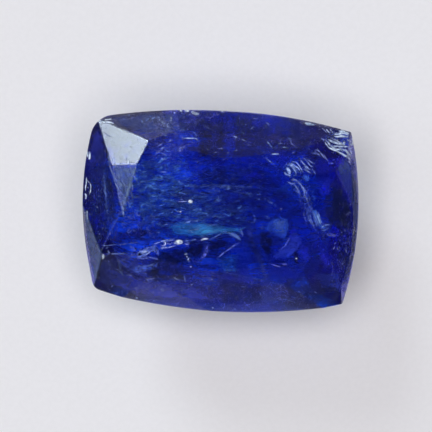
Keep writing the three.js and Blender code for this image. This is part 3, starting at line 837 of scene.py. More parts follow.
silk.cloud([(-4.20, -3.14), (-1.38, -3.26), (3.36, -3.07)], 0.8, 900, 0.08, 0.0055, 10, 1.2, (0.03, 0.4), LILAC, bunch=0.35)
silk.cloud([(5.06, 0.84), (5.31, -1.18), (4.93, -2.57)], 0.5, 320, 0.1, 0.0055, 85, 0.5, (0.03, 0.3), LILAC, bunch=0.35)
silk.cloud([(-4.81, 0.98), (-4.56, -0.37), (-4.66, -1.39)], 0.7, 320, 0.12, 0.005, 80, 0.4, (0.05, 0.6), (0.4, 0.6, 1.0), bunch=0.3)
for path, fade in [([(-1.65, 1.03), (-0.02, 1.17), (1.65, 1.24)], 0.35), ([(-0.28, 0.48), (-0.03, 0.81)], 0.5),
                   ([(-1.82, 1.35), (-1.49, 1.06)], 0.35), ([(-0.87, 1.07), (-0.64, 1.20)], 0.5),
                   ([(-0.17, 1.08), (0.06, 1.15)], 0.7), ([(1.56, 0.89), (1.88, 0.67), (2.25, 0.46)], 0.6),
                   ([(-3.44, 1.04), (-2.82, 1.17), (-2.43, 1.08)], 0.45), ([(-3.15, 0.20), (-2.17, 0.19)], 0.35),
                   ([(-3.70, 1.45), (-3.20, 1.57), (-2.84, 1.48)], 0.4)]:
    fibres.ribbon(path, 0.06, 0.15, fade, ICE, taper=0.4, jitter=0.03)

for path, spread, count, tint, layer in [
    ([(-3.46, 1.47), (-2.45, 1.39), (-1.46, 1.22)], 1.0, 110, (0.26, 0.6, 1.3), fibres),
    ([(-3.63, 0.44), (-2.18, 0.31), (-0.62, 0.26)], 0.9, 120, (0.26, 0.56, 1.3), fibres),
    ([(-1.64, 0.90), (0.31, 0.95), (1.79, 0.90)], 0.6, 50, (0.25, 0.4, 1.0), fibres),
    ([(-2.74, -0.12), (-0.60, -0.05), (1.15, 0.07)], 0.5, 70, (0.24, 0.5, 1.2), fibres),
    # the dark strokes below paint shade among the silk
    ([(-3.60, 1.22), (-2.01, 0.63), (-0.44, 0.43)], 1.4, 110, NAVY, painted_shade_veils),
    ([(-3.67, -0.83), (-2.70, -0.67), (-1.90, -0.93)], 0.6, 50, NAVY, painted_shade_veils),
    ([(-0.51, 1.52), (1.04, 1.55), (2.41, 1.42)], 0.6, 60, NAVY, painted_shade_veils),
    ([(0.50, -0.76), (0.96, 0.45), (1.63, 0.89)], 1.0, 60, NAVY, painted_shade_veils),
]:
    layer.strands(path, spread, count, 0.34, 0.05, 3, 0.15, 1.0, tint, fan=0.3)

# the feathered corner, top right
WING = [(3.77, 3.17), (4.08, 3.60), (4.52, 3.55), (4.90, 3.45), (5.02, 2.94), (5.05, 2.36), (4.95, 2.28), (4.64, 2.53), (4.15, 2.76)]
clouds_and_painted_reflection.patch(WING, 0.1, 1.0, (0.2, 0.3, 1.0), soft=0.12, cell=0.04, ragged=0.06, lit=1.0)
for path, width, fade in [
    ([(3.83, 3.15), (3.96, 2.92), (4.31, 2.76), (4.67, 2.64), (4.98, 2.47)], 0.07, 1.0),
    ([(3.89, 3.17), (4.10, 2.97), (4.34, 2.85)], 0.05, 0.9), ([(4.01, 3.19), (4.25, 3.05), (4.64, 3.00)], 0.09, 1.0),
    ([(3.95, 3.11), (4.14, 2.89), (4.43, 2.76)], 0.04, 0.9), ([(4.14, 2.93), (4.50, 2.92), (4.91, 2.93)], 0.06, 0.9),
    ([(4.63, 3.16), (4.67, 3.06), (4.62, 2.95)], 0.11, 1.0), ([(4.26, 2.82), (4.58, 2.83), (4.77, 2.76), (4.98, 2.49)], 0.07, 1.0),
    ([(4.20, 3.36), (4.38, 3.38), (4.56, 3.44), (4.74, 3.40), (4.90, 3.36)], 0.08, 1.0),
    ([(4.20, 3.30), (4.42, 3.28), (4.64, 3.31), (4.85, 3.28)], 0.06, 0.9), ([(4.40, 3.51), (4.56, 3.48), (4.88, 3.41)], 0.06, 0.9),
    ([(4.28, 3.44), (4.48, 3.36), (4.72, 3.33)], 0.05, 0.8), ([(3.90, 3.56), (4.00, 3.47), (4.08, 3.37)], 0.05, 0.6),
    ([(3.72, 3.59), (3.86, 3.50), (3.96, 3.38)], 0.045, 0.5), ([(4.04, 3.57), (4.14, 3.48), (4.20, 3.39)], 0.045, 0.6),
    ([(4.84, 3.07), (4.92, 3.02), (5.02, 2.95)], 0.08, 0.9), ([(4.80, 2.90), (5.00, 2.81)], 0.07, 0.9),
    ([(4.51, 2.65), (4.76, 2.55), (4.98, 2.41)], 0.06, 0.9), ([(4.70, 2.84), (4.83, 2.69), (4.99, 2.58)], 0.06, 1.0),
    ([(4.33, 3.14), (4.49, 3.07), (4.61, 3.06)], 0.05, 0.8), ([(4.12, 3.25), (4.29, 3.16), (4.45, 3.15)], 0.04, 0.7),
    ([(4.73, 3.22), (4.85, 3.14), (4.99, 3.11)], 0.05, 0.8), ([(4.81, 2.42), (4.99, 2.29)], 0.06, 0.7),
    ([(4.44, 2.98), (4.52, 2.85), (4.63, 2.70)], 0.045, 0.8), ([(4.89, 2.84), (4.99, 2.67), (5.02, 2.54)], 0.045, 0.7),
]:
    chips.ribbon(path, width * 1.1, fade=fade, rgb=(0.74, 0.85, 1.0), taper=0.2, jitter=0.025, skin=True)
sparks.cloud([(4.00, 3.26), (4.49, 3.17), (4.92, 2.80)], 0.55, 170, 0.11, 0.011, 35, 0.7, (0.02, 0.12), PALE, vary=0.6)
sparks.cloud([(4.42, 2.79), (4.89, 2.49)], 0.35, 60, 0.11, 0.011, 40, 0.6, (0.02, 0.12), PALE, vary=0.6)
# a dark patch in the feathered corner: painted shade
painted_shade_veils.patch([(4.24, 3.23), (4.48, 3.22), (4.57, 3.11), (4.37, 3.11)], 0.04, 0.4, NAVY, soft=0.06, cell=0.03)
chips.patch([(3.08, 3.61), (3.12, 3.77), (3.56, 3.72), (3.40, 3.62)], fade=0.8, rgb=PALE, soft=0.07, cell=0.03, skin=True,
            ragged=0.06)
for path, width, fade in [([(3.45, 2.74), (3.59, 2.77), (3.71, 2.69), (3.88, 2.49), (3.98, 2.40)], 0.06, 0.8),
                          ([(3.51, 2.67), (3.65, 2.61), (3.76, 2.51)], 0.045, 0.6), ([(3.49, 2.72), (3.55, 2.63)], 0.06, 0.7),
                          ([(3.79, 2.66), (3.96, 2.47), (4.07, 2.31)], 0.04, 0.6),
                          ([(4.03, 2.28), (4.29, 2.29)], 0.045, 0.6)]:
    chips.ribbon(path, width, fade=fade, rgb=(0.4, 0.48, 0.95), taper=0.25, jitter=0.02, skin=True)

# the cluster of feathers at the right end of the table
clouds_and_painted_reflection.patch([(2.66, 1.75), (3.01, 1.69), (3.31, 1.32), (3.55, 0.79), (3.79, 0.25), (4.13, -0.47), (3.73, -0.51), (3.38, -0.01), (3.02, 0.64),
              (2.66, 1.28)], 0.4, 0.5, (0.12, 0.24, 0.9), soft=0.2, cell=0.05, ragged=0.08, along=(0.4, -1), lit=1.0)
for path, width, fade in [
    ([(2.42, 2.07), (2.53, 1.93), (2.58, 1.78)], 0.15, 1.0), ([(2.34, 1.90), (2.44, 1.77), (2.64, 1.74)], 0.08, 0.9),
    ([(2.34, 2.12), (2.51, 2.21), (2.72, 2.09), (2.88, 1.88)], 0.05, 0.9),
    ([(2.43, 2.22), (2.67, 2.22), (2.87, 2.06), (3.02, 1.85)], 0.055, 0.9),
    ([(2.51, 2.29), (2.78, 2.27), (2.99, 2.07), (3.12, 1.85)], 0.045, 0.8),
    ([(2.48, 2.11), (2.64, 2.11), (2.78, 1.95), (2.85, 1.76)], 0.05, 0.8),
    ([(2.89, 2.44), (3.06, 2.26), (3.27, 2.06), (3.47, 1.98)], 0.05, 0.8), ([(3.01, 2.44), (3.19, 2.34), (3.34, 2.18), (3.54, 2.11)], 0.045, 0.8),
    ([(2.95, 2.35), (3.14, 2.15), (3.31, 1.95)], 0.04, 0.7), ([(3.13, 2.47), (3.37, 2.31), (3.57, 2.22)], 0.04, 0.6),
    ([(3.07, 2.11), (3.27, 1.93), (3.47, 1.87)], 0.04, 0.6), ([(3.34, 2.10), (3.51, 1.98), (3.63, 1.83)], 0.035, 0.5),
    ([(2.50, 1.50), (2.68, 1.42), (2.83, 1.54)], 0.05, 0.7), ([(2.59, 1.59), (2.79, 1.62), (2.95, 1.51)], 0.045, 0.6),
    ([(2.74, 1.67), (2.95, 1.53), (3.16, 1.27), (3.38, 0.97)], 0.05, 0.6), ([(2.87, 1.60), (3.12, 1.35), (3.34, 1.01)], 0.04, 0.6),
    ([(2.68, 1.51), (2.89, 1.29), (3.07, 0.99)], 0.04, 0.5), ([(2.99, 1.46), (3.22, 1.08), (3.36, 0.70)], 0.04, 0.5),
]:
    chips.ribbon(path, width, fade=fade, rgb=(0.42, 0.56, 1.0), taper=0.3, jitter=0.035, skin=True)
flakes_and_painted_glints.patch([(2.28, 2.18), (2.55, 2.30), (2.86, 2.21), (3.08, 1.89), (2.86, 1.64), (2.47, 1.65), (2.26, 1.91)], 0.2, 0.28, (0.1, 0.24, 0.85),
             soft=0.2, cell=0.04, ragged=0.06, lit=1.0)
sparks.cloud([(2.37, 2.03), (2.65, 1.90), (2.96, 1.92)], 0.42, 90, 0.1, 0.009, 60, 0.7, (0.04, 0.25), ICE, vary=0.5)
sparks.cloud([(2.79, 1.60), (3.17, 1.16), (3.48, 0.63)], 0.34, 130, 0.1, 0.0075, 60, 0.7, (0.04, 0.3), ICE, vary=0.5)
chips.nicks([(2.68, 1.51), (2.98, 1.61), (3.51, 0.79), (4.18, -0.56), (3.70, -0.63), (3.19, 0.37)], 90, 0.14, 0.035, -62, 0.45, 0.6, (0.3, 0.42, 1.0))
flakes_and_painted_glints.patch([(3.01, 1.81), (3.32, 1.82), (3.41, 1.71), (3.30, 1.50), (3.16, 1.62)], 0.2, 0.6, (0.09, 0.22, 0.8), soft=0.08, lit=1.0,
             cell=0.03)

# the right feather
for path, width, fade, rgb in [
    ([(3.58, 0.44), (3.71, 0.17), (3.86, -0.15)], 0.06, 0.8, (0.26, 0.46, 1.0)), ([(3.67, 0.48), (3.79, 0.21), (3.94, -0.13)], 0.07, 0.9, (0.34, 0.56, 1.0)),
    ([(3.75, 0.46), (3.87, 0.19), (4.00, -0.11)], 0.05, 0.8, (0.3, 0.5, 1.0)), ([(3.59, 0.32), (3.68, 0.05), (3.80, -0.20)], 0.05, 0.7, (0.24, 0.4, 1.0)),
    ([(3.93, -0.29), (4.02, -0.15), (4.18, -0.12), (4.39, -0.14)], 0.05, 0.8, (0.4, 0.6, 1.0)),
    ([(3.95, -0.31), (4.16, -0.32), (4.31, -0.19)], 0.06, 0.6, (0.25, 0.42, 0.9)),
    ([(4.09, -0.45), (4.34, -0.54), (4.64, -0.62)], 0.06, 0.4, (0.35, 0.42, 0.8)), ([(4.17, -0.40), (4.46, -0.51), (4.80, -0.60)], 0.05, 0.35, (0.35, 0.42, 0.8)),
    ([(3.46, 0.39), (3.54, 0.08), (3.71, -0.31)], 0.035, 0.5, (0.3, 0.45, 1.0)), ([(3.30, 0.54), (3.40, 0.23), (3.58, -0.15)], 0.035, 0.45, (0.3, 0.45, 1.0)),
    ([(3.19, 0.41), (3.29, 0.10), (3.43, -0.16)], 0.03, 0.4, (0.3, 0.42, 1.0)),
]:
    chips.ribbon(path, width, fade=fade, rgb=rgb, taper=0.25, jitter=0.02, skin=True)
flakes_and_painted_glints.patch([(3.59, 0.48), (3.77, 0.50), (4.00, -0.11), (4.27, -0.16), (4.08, -0.31), (3.87, -0.21)], 0.15, 0.7, (0.1, 0.27, 0.85),
             soft=0.06, cell=0.03, along=(0.35, -1), lit=1.0)
for c in [(4.10, -1.11), (4.16, -1.28), (4.22, -1.49), (4.58, -2.38), (3.89, -0.95), (4.39, -1.68)]:
    sparks.cloud([c], 0.03, 5, 0.07, 0.013, 90, 0.6, (0.04, 0.15), LILAC)
for path, fade in [([(4.80, 0.41), (4.98, 0.21), (5.09, 0.40), (5.20, 0.16)], 0.6), ([(5.11, -0.80), (5.23, -0.91), (5.15, -1.00)], 0.6),
                   ([(4.71, -1.50), (4.89, -1.67), (5.06, -1.87)], 0.55), ([(4.81, -1.47), (5.11, -1.77)], 0.4),
                   ([(5.05, -0.12), (5.14, -0.60)], 0.3), ([(5.23, -0.20), (5.34, -0.94)], 0.3),
                   ([(4.51, -1.61), (4.58, -1.93), (4.53, -2.23)], 0.45)]:
    fibres.ribbon(path, 0.06, 0.06, fade, LILAC, taper=0.35, jitter=0.03)
    chips.ribbon(path, 0.045, fade=1.2 * fade, rgb=(0.1, 0.12, 0.36), taper=0.35, jitter=0.04, skin=True)

# big flakes right of the middle
flakes_and_painted_glints.patch([(1.71, -0.40), (1.87, -0.15), (2.06, 0.10), (2.35, 0.14), (2.65, 0.10), (2.73, -0.21), (2.67, -0.53), (2.60, -0.81),
              (2.38, -0.73), (2.01, -0.54)], 0.4, 0.5, (0.06, 0.15, 0.78), soft=0.1, cell=0.04, along=(0.5, -1), lit=1.0)
fibres.patch([(1.75, -0.40), (1.87, -0.17), (2.06, 0.08), (2.35, 0.12), (2.63, 0.08), (2.69, -0.21), (2.59, -0.46), (2.21, -0.56)], 0.39, 0.55,
             (0.1, 0.24, 1.0), soft=0.1, cell=0.035, along=(0.5, -1), lit=1.0)
fibres.patch([(1.95, -0.27), (2.09, 0.02), (2.59, 0.06), (2.63, -0.41), (2.37, -0.63)], 0.35, 0.3, ICE, soft=0.14, cell=0.035,
             along=(0.3, -1))
flakes_and_painted_glints.patch([(2.04, -1.48), (2.41, -1.16), (2.63, -1.01), (2.76, -0.60), (3.02, -0.43), (3.27, -0.65), (3.33, -0.88), (3.15, -1.13), (2.97, -1.38),
              (2.67, -1.52), (2.28, -1.54)], 0.5, 0.5, (0.07, 0.11, 0.75), soft=0.12, cell=0.04, along=(1, 0.5), lit=1.0)
fibres.patch([(2.12, -1.46), (2.41, -1.18), (2.67, -1.00), (2.80, -0.64), (3.02, -0.47), (3.23, -0.65), (3.28, -0.84), (3.04, -1.21)], 0.49, 0.5,
             (0.1, 0.11, 0.72), soft=0.12, cell=0.035, along=(1, 0.5), lit=1.0)
fibres.ribbon([(2.26, -1.27), (2.63, -1.03), (2.76, -0.64), (2.98, -0.45)], 0.06, 0.5, 0.5, LILAC, taper=0.3)
# dark strokes under the lower sheet right of the middle: painted shade
for path in [[(2.09, -1.58), (2.41, -1.65), (2.76, -1.63)], [(2.22, -1.73), (2.53, -1.80), (2.84, -1.70)]]:
    painted_shade_veils.ribbon(path, 0.12, 0.1, 0.8, INK)
flakes_and_painted_glints.ribbon([(2.49, -1.75), (2.76, -1.73)], 0.1, 0.15, 0.8, LILAC)
flakes_and_painted_glints.ribbon([(1.98, -1.70), (2.26, -1.82), (2.58, -1.84)], 0.05, 0.12, 0.6, LILAC)
for path in [[(1.14, 0.15), (1.39, 0.01), (1.29, -0.23), (1.05, -0.13)], [(1.48, -0.14), (1.72, -0.28), (1.58, -0.49)],
             [(1.61, 0.18), (1.85, 0.08), (1.94, -0.11)], [(1.10, -0.33), (1.35, -0.51)]]:
    fibres.ribbon(path, 0.06, 0.4, 0.4, (0.4, 0.55, 1.0), taper=0.4, jitter=0.04)
flakes_and_painted_glints.patch([(0.95, -0.41), (1.31, -0.51), (1.55, -1.12), (1.81, -1.54), (2.10, -2.25), (1.88, -2.40), (1.55, -1.71), (1.23, -1.10)], 0.7, 0.55,
             (0.12, 0.13, 0.42), soft=0.16, cell=0.05, along=(0.4, -1))

# small strokes and marks over the top crown
for path, width, fade, rgb in [
    ([(-3.22, 3.36), (-3.04, 3.53)], 0.08, 0.85, ICE), ([(-2.99, 3.46), (-2.80, 3.54)], 0.07, 0.8, ICE),
    ([(-3.39, 3.47), (-3.34, 3.37), (-3.28, 3.26)], 0.1, 0.6, ICE), ([(-2.57, 3.43), (-2.45, 3.29)], 0.06, 0.85, PALE),
    ([(-2.27, 3.41), (-2.37, 3.26)], 0.06, 0.85, PALE), ([(-1.81, 3.16), (-1.57, 3.18)], 0.05, 0.6, ICE),
    ([(-2.45, 2.92), (-2.26, 2.93)], 0.05, 0.5, ICE), ([(-1.34, 3.16), (-1.17, 3.06), (-1.12, 2.92)], 0.05, 0.5, ICE),
    ([(-1.70, 2.87), (-1.39, 2.90), (-1.12, 2.90), (-1.01, 2.74)], 0.06, 0.95, PALE),
    ([(-2.52, 2.43), (-2.33, 2.50)], 0.06, 0.7, ICE), ([(-2.51, 2.30), (-2.23, 2.17)], 0.05, 0.6, ICE),
    ([(-1.82, 2.47), (-1.74, 2.58), (-1.63, 2.46), (-1.72, 2.36)], 0.05, 0.5, LILAC),
    ([(-2.49, 2.04), (-2.18, 2.06)], 0.05, 0.5, ICE), ([(-1.09, 2.05), (-0.98, 2.06)], 0.06, 0.6, ICE),
    ([(-1.12, 1.83), (-1.00, 1.84)], 0.05, 0.5, ICE), ([(-2.46, 1.54), (-2.15, 1.56)], 0.05, 0.6, ICE),
    ([(-0.35, 2.58), (-0.04, 2.60)], 0.045, 0.5, LILAC), ([(0.53, 3.28), (0.74, 3.15)], 0.05, 0.5, ICE),
    ([(2.17, 2.80), (2.40, 2.80)], 0.05, 0.6, ICE), ([(2.39, 3.12), (2.62, 3.12)], 0.06, 0.7, ICE),
    ([(2.24, 2.81), (2.48, 2.77)], 0.05, 0.6, ICE), ([(1.79, 2.51), (2.14, 2.54)], 0.08, 0.95, PALE),
    ([(1.90, 2.75), (1.98, 2.73)], 0.05, 0.7, ICE), ([(1.53, 3.05), (1.73, 2.85), (1.90, 2.67)], 0.05, 0.6, ICE),
    ([(1.56, 2.43), (1.69, 2.29), (1.97, 2.12)], 0.05, 0.55, ICE), ([(-1.64, 3.82), (-1.86, 3.63), (-2.00, 3.47)], 0.05, 0.4, ICE),
    ([(-2.91, 3.15), (-2.58, 3.00), (-2.26, 2.99)], 0.05, 0.4, LILAC), ([(-0.57, 3.39), (-0.34, 3.48)], 0.05, 0.4, LILAC),
]:
    chips.ribbon(path, width * 0.85, fade=fade, rgb=[0.85 * c for c in rgb], taper=0.3, jitter=0.02, skin=True)
fibres.patch([(0.35, 3.60), (0.47, 3.61), (0.52, 3.48), (0.44, 3.44), (0.38, 3.51)], 0.03, 0.9, ICE, soft=0.04, cell=0.02)
sparks.cloud([(-2.49, 3.25), (-2.27, 3.06)], 0.25, 40, 0.08, 0.008, 30, 1.0, (0.02, 0.12), ICE, vary=0.6)
sparks.cloud([(-3.42, 3.39), (-2.64, 3.53), (-1.66, 3.61), (-0.47, 3.62)], 0.45, 160, 0.09, 0.007, 10, 1.0, (0.02, 0.2), ICE, vary=0.7)
# strokes low on the crown
for path, width, fade in [
    ([(-2.30, -3.25), (-2.18, -3.17), (-2.02, -3.27), (-2.18, -3.34)], 0.06, 0.55), ([(-2.18, -3.05), (-1.95, -2.95)], 0.06, 0.6),
    ([(-3.38, -3.28), (-3.26, -3.28)], 0.05, 0.5), ([(-3.14, -3.29), (-3.06, -3.29)], 0.05, 0.5), ([(-1.47, -3.12), (-1.23, -3.10)], 0.05, 0.5),
    ([(-1.23, -3.20), (-1.11, -3.19)], 0.06, 0.6), ([(-0.29, -2.27), (-0.16, -2.42), (-0.04, -2.48)], 0.06, 0.5),
    ([(3.65, -2.91), (3.76, -3.06), (3.88, -3.24)], 0.13, 0.85), ([(3.88, -3.02), (4.01, -3.15), (4.17, -3.28)], 0.12, 0.85),
    ([(2.66, -3.17), (2.99, -3.34), (3.41, -3.46)], 0.07, 0.5), ([(2.88, -3.01), (3.26, -3.23), (3.64, -3.44)], 0.06, 0.5),
    ([(1.89, -2.57), (2.23, -2.82), (2.65, -3.12)], 0.06, 0.4), ([(2.21, -2.59), (2.71, -2.93), (3.05, -3.14)], 0.06, 0.4),
    ([(3.19, -2.89), (3.49, -3.16)], 0.08, 0.6), ([(3.33, -2.72), (3.59, -2.98)], 0.06, 0.5),
]:
    fibres.ribbon(path, width, 0.05, fade, ICE, taper=0.3, jitter=0.03)
sparks.cloud([(2.15, -2.87), (3.06, -3.24), (4.02, -3.24)], 0.4, 120, 0.09, 0.008, -35, 0.5, (0.02, 0.15), LILAC, vary=0.6)

# vivid patches: metallic sheets turned to the lamps that stand in for the vivid blue the pavilion reflects back:
# painted reflection
for outline, depth, fade, rgb, soft in [
    ([(3.82, -2.02), (4.80, -2.03), (5.17, -2.83), (4.10, -3.15)], 0.25, 0.75, (0.04, 0.06, 0.4), 0.15),
    ([(-4.77, 3.32), (-3.45, 3.63), (-2.03, 3.76), (-1.96, 3.15), (-2.88, 2.90), (-4.19, 3.16)], 0.15, 0.75, (0.035, 0.07, 0.33), 0.12),
    ([(-4.46, -2.46), (-3.40, -2.65), (-0.60, -3.01), (0.31, -3.73), (-2.16, -3.77), (-4.44, -3.45)], 0.3, 0.7, (0.07, 0.085, 0.6), 0.25),
    ([(-5.26, 2.85), (-5.02, 3.00), (-4.56, 2.11), (-4.60, 1.65), (-5.35, 1.53)], 0.25, 0.6, (0.02, 0.03, 0.45), 0.12),
    ([(3.77, 1.64), (4.13, 1.65), (4.32, 1.26), (4.14, 0.91), (3.77, 1.02)], 0.3, 0.7, (0.03, 0.035, 0.95), 0.3),
    ([(3.16, -0.73), (3.60, -0.87), (3.70, -1.52), (3.37, -1.85), (3.09, -1.33)], 0.3, 0.65, (0.03, 0.045, 0.9), 0.3),
    ([(3.94, -1.03), (4.31, -1.12), (4.52, -1.69), (4.21, -1.93), (3.94, -1.60)], 0.3, 0.7, (0.03, 0.035, 0.95), 0.3),
    ([(2.66, -0.29), (2.97, -0.27), (3.00, -0.74), (2.78, -0.84)], 0.3, 0.45, (0.02, 0.03, 0.9), 0.15),
    ([(4.44, 2.53), (4.76, 2.50), (4.87, 2.14), (4.50, 2.12)], 0.1, 0.9, (0.09, 0.06, 1.0), 0.1),
    ([(0.64, 1.76), (1.48, 1.90), (1.51, 1.51), (0.74, 1.45)], 0.4, 0.35, (0.02, 0.02, 0.9), 0.2),
]:
    flakes_and_painted_glints.patch(outline, depth, fade, rgb, soft=soft, cell=0.05, ragged=0.12, lit=1.0)

# soft blue, teal and violet haze of the finest inclusions, well down. The ultramarine patches lie under the vivid
# patches and paint, like them, the blue that the pavilion reflects back: painted reflection.
for outline, depth, fade, rgb, soft in [
    ([(-3.70, 1.45), (-2.86, 1.83), (-1.31, 1.86), (-1.03, 1.10), (-2.01, 0.63), (-3.57, 0.68)], 1.0, 0.5, (0.16, 0.5, 1.0), 0.5),
    ([(-3.79, 0.51), (-2.79, 0.74), (-1.01, 0.78), (0.19, 0.40), (0.07, -0.16), (-1.94, -0.38), (-3.65, -0.50)], 0.9, 0.5, (0.2, 0.5, 1.0), 0.5),
    ([(3.60, 1.79), (4.24, 1.73), (4.38, 1.02), (3.91, 0.79), (3.49, 1.09)], 0.6, 0.7, ULTRA, 0.3),
    ([(3.15, -0.65), (3.64, -0.87), (3.70, -1.60), (3.34, -2.02), (2.97, -1.38)], 0.6, 0.6, ULTRA, 0.3),
    ([(3.89, -0.95), (4.38, -1.04), (4.69, -1.78), (4.30, -2.01), (3.94, -1.60)], 0.6, 0.7, ULTRA, 0.25),
    ([(2.65, -0.14), (3.04, -0.19), (3.09, -0.82), (2.78, -0.92)], 0.7, 0.5, ULTRA, 0.2),
    ([(-0.91, -1.73), (-0.21, -1.72), (-0.10, -2.15), (-0.72, -2.33)], 0.7, 0.6, ULTRA, 0.2),
    ([(-0.27, -0.86), (0.36, -0.85), (0.47, -1.40), (-0.07, -1.51)], 0.9, 0.5, ULTRA, 0.25),
    ([(4.28, 2.56), (4.80, 2.50), (4.84, 2.03), (4.38, 2.04)], 0.4, 0.6, (0.2, 0.15, 1.0), 0.2),
    ([(0.63, 1.84), (1.71, 1.99), (2.21, 1.56), (1.53, 1.20), (0.67, 1.29)], 1.0, 0.4, ULTRA, 0.4),
    ([(3.29, 1.63), (3.70, 1.49), (3.82, 0.87), (3.43, 0.78)], 0.6, 0.5, (0.2, 0.4, 1.0), 0.2),
    ([(-4.20, -3.23), (-1.80, -2.73), (1.35, -2.75), (4.48, -2.18), (4.67, -3.23), (0.64, -3.85), (-2.97, -3.81)], 0.25, 0.35, VIOLET, 0.35),
    ([(-3.45, 3.61), (-1.07, 3.72), (0.89, 3.78), (2.89, 3.52), (2.91, 2.74), (-0.22, 2.90), (-2.57, 2.96)], 0.25, 0.3, VIOLET, 0.3),
    ([(-2.94, 2.72), (-2.33, 2.84), (-1.37, 2.61), (-1.57, 2.15), (-2.80, 1.98)], 0.3, 0.4, LILAC, 0.25),
    
    ([(-5.22, 1.47), (-4.68, 1.56), (-4.53, -0.80), (-4.94, -1.04)], 0.5, 0.35, (0.2, 0.2, 0.8), 0.25),
]:
    clouds_and_painted_reflection.patch(outline, depth, fade, rgb, soft=soft, cell=0.08, crumple=0.15, ragged=0.1)

# dark sheets over the darker parts of the stone, and under the fracture as its shadow: painted shade
for outline, depth, fade, rgb, soft in [
    ([(-1.23, 1.86), (0.62, 2.07), (2.33, 1.96), (2.40, 1.10), (0.69, 1.06), (-1.02, 0.94)], 0.8, 0.6, (0.003, 0.01, 0.12), 0.3),
    ([(-5.36, 2.07), (-4.74, 2.24), (-4.32, 1.06), (-3.99, -0.23), (-4.41, -1.42), (-5.10, -1.42), (-5.37, 0.49)], 0.3, 0.8, (0.005, 0.028, 0.27), 0.15),
    ([(-4.29, -0.68), (-2.40, -0.57), (-1.97, -1.09), (-2.66, -1.38), (-4.25, -1.48)], 0.4, 0.65, (0.03, 0.022, 0.22), 0.25),
    ([(-2.78, -1.87), (-2.25, -1.67), (-1.22, -1.75), (-1.09, -2.77), (-2.58, -2.95)], 0.35, 0.85, (0.006, 0.018, 0.15), 0.22),
    ([(0.98, -0.81), (1.44, -0.70), (1.93, -1.61), (1.70, -2.20), (1.19, -1.58)], 0.4, 0.5, (0.002, 0.008, 0.07), 0.15),
    ([(4.40, 1.81), (4.82, 1.17), (5.17, 0.52), (5.25, -0.45), (4.77, -0.66), (4.40, 0.23), (4.32, 1.26)], 0.25, 0.7, (0.005, 0.028, 0.21), 0.08),
    ([(4.60, 0.30), (5.20, 0.60), (5.41, -1.70), (5.08, -2.38), (4.59, -1.61)], 0.35, 0.65, (0.012, 0.034, 0.27), 0.2),
    ([(0.18, 3.85), (2.88, 3.63), (3.77, 3.21), (2.92, 2.63), (0.28, 2.42)], 0.3, 0.7, (0.008, 0.016, 0.22), 0.2),
    ([(1.58, -2.64), (4.11, -2.45), (4.72, -2.88), (3.40, -3.41), (1.66, -3.58)], 0.35, 0.6, (0.009, 0.014, 0.25), 0.25),
    ([(0.07, -2.44), (1.82, -2.62), (1.90, -3.56), (0.15, -3.69)], 0.3, 0.65, (0.009, 0.011, 0.11), 0.25),
    ([(-1.23, -1.12), (-0.88, -1.00), (-0.56, -1.11), (-0.54, -1.47), (-0.84, -1.69), (-1.15, -1.63)], 0.3, 0.9, (0.02, 0.026, 0.12), 0.12),
    ([(-2.84, -2.39), (-2.37, -2.26), (-2.17, -2.41), (-2.35, -2.73), (-2.75, -2.68)], 0.25, 0.7, (0.008, 0.016, 0.1), 0.12),
    ([(-0.42, -0.98), (0.04, -0.79), (0.76, -1.02), (0.15, -1.34), (-0.13, -1.68), (-0.41, -1.66)], 0.5, 0.75, (0.004, 0.007, 0.1), 0.18),
    ([(0.30, -2.25), (0.96, -2.20), (1.05, -2.37), (0.46, -2.41)], 0.15, 0.7, NAVY, 0.08),
    ([(1.50, -0.53), (1.73, -0.44), (2.01, -0.48), (2.12, -0.69), (2.12, -1.44), (1.97, -1.53), (1.72, -1.31), (1.53, -0.93)], 0.3, 0.85,
     (0.003, 0.008, 0.08), 0.12),
    ([(2.92, -1.22), (3.15, -1.21), (3.19, -1.69), (2.96, -1.69)], 0.15, 0.75, INK, 0.08),
    ([(4.32, 1.26), (4.81, 1.32), (5.15, 0.68), (5.14, -0.12), (4.64, -0.18), (4.37, 0.62)], 0.35, 0.7, (0.005, 0.022, 0.18), 0.25),
    ([(3.65, -0.95), (3.93, -0.99), (4.02, -1.60), (3.74, -1.60)], 0.4, 0.6, NAVY, 0.15),
    ([(4.05, 0.99), (4.35, 1.41), (4.88, 1.01), (5.13, 0.44), (5.14, -0.20), (4.65, -0.30), (4.22, -0.04), (3.97, 0.56)], 0.2, 0.8, (0.004, 0.025, 0.21), 0.12),
    ([(-1.35, 3.70), (0.03, 3.73), (0.18, 2.20), (-0.39, 2.04), (-1.18, 2.17)], 0.3, 0.8, (0.012, 0.011, 0.075), 0.3),
    ([(-0.47, 2.00), (0.11, 2.04), (0.17, 1.26), (-0.25, 1.11)], 0.6, 0.6, NAVY, 0.25),
    ([(-2.54, -0.11), (-2.04, -0.04), (-1.94, -0.46), (-2.06, -0.98), (-2.45, -0.97)], 0.5, 0.5, (0.018, 0.014, 0.16), 0.25),
    ([(0.24, 0.75), (0.94, 0.76), (0.96, 0.45), (0.31, 0.41)], 0.4, 0.45, (0.006, 0.012, 0.14), 0.2),
    ([(1.69, 1.21), (2.78, 1.21), (2.90, 0.67), (1.81, 0.59)], 0.5, 0.45, (0.016, 0.014, 0.14), 0.3),
    ([(-4.62, 1.33), (-4.27, 1.07), (-3.99, -0.15), (-4.26, -0.44), (-4.51, 0.24)], 0.3, 0.5, NAVY, 0.15),
    ([(4.29, -0.92), (4.67, -1.02), (4.70, -1.38), (4.33, -1.36)], 0.3, 0.5, (0.006, 0.008, 0.1), 0.15),
    ([(-2.34, -1.48), (-1.87, -1.42), (-1.18, -1.28), (-0.49, -1.07), (-0.45, -1.62), (-1.06, -1.90), (-2.14, -2.15)], 0.3, 0.85, (0.005, 0.015, 0.13), 0.2),
]:
    painted_shade_veils.patch(outline, depth, fade, rgb, soft=soft, cell=0.06, crumple=0.1, ragged=0.08)
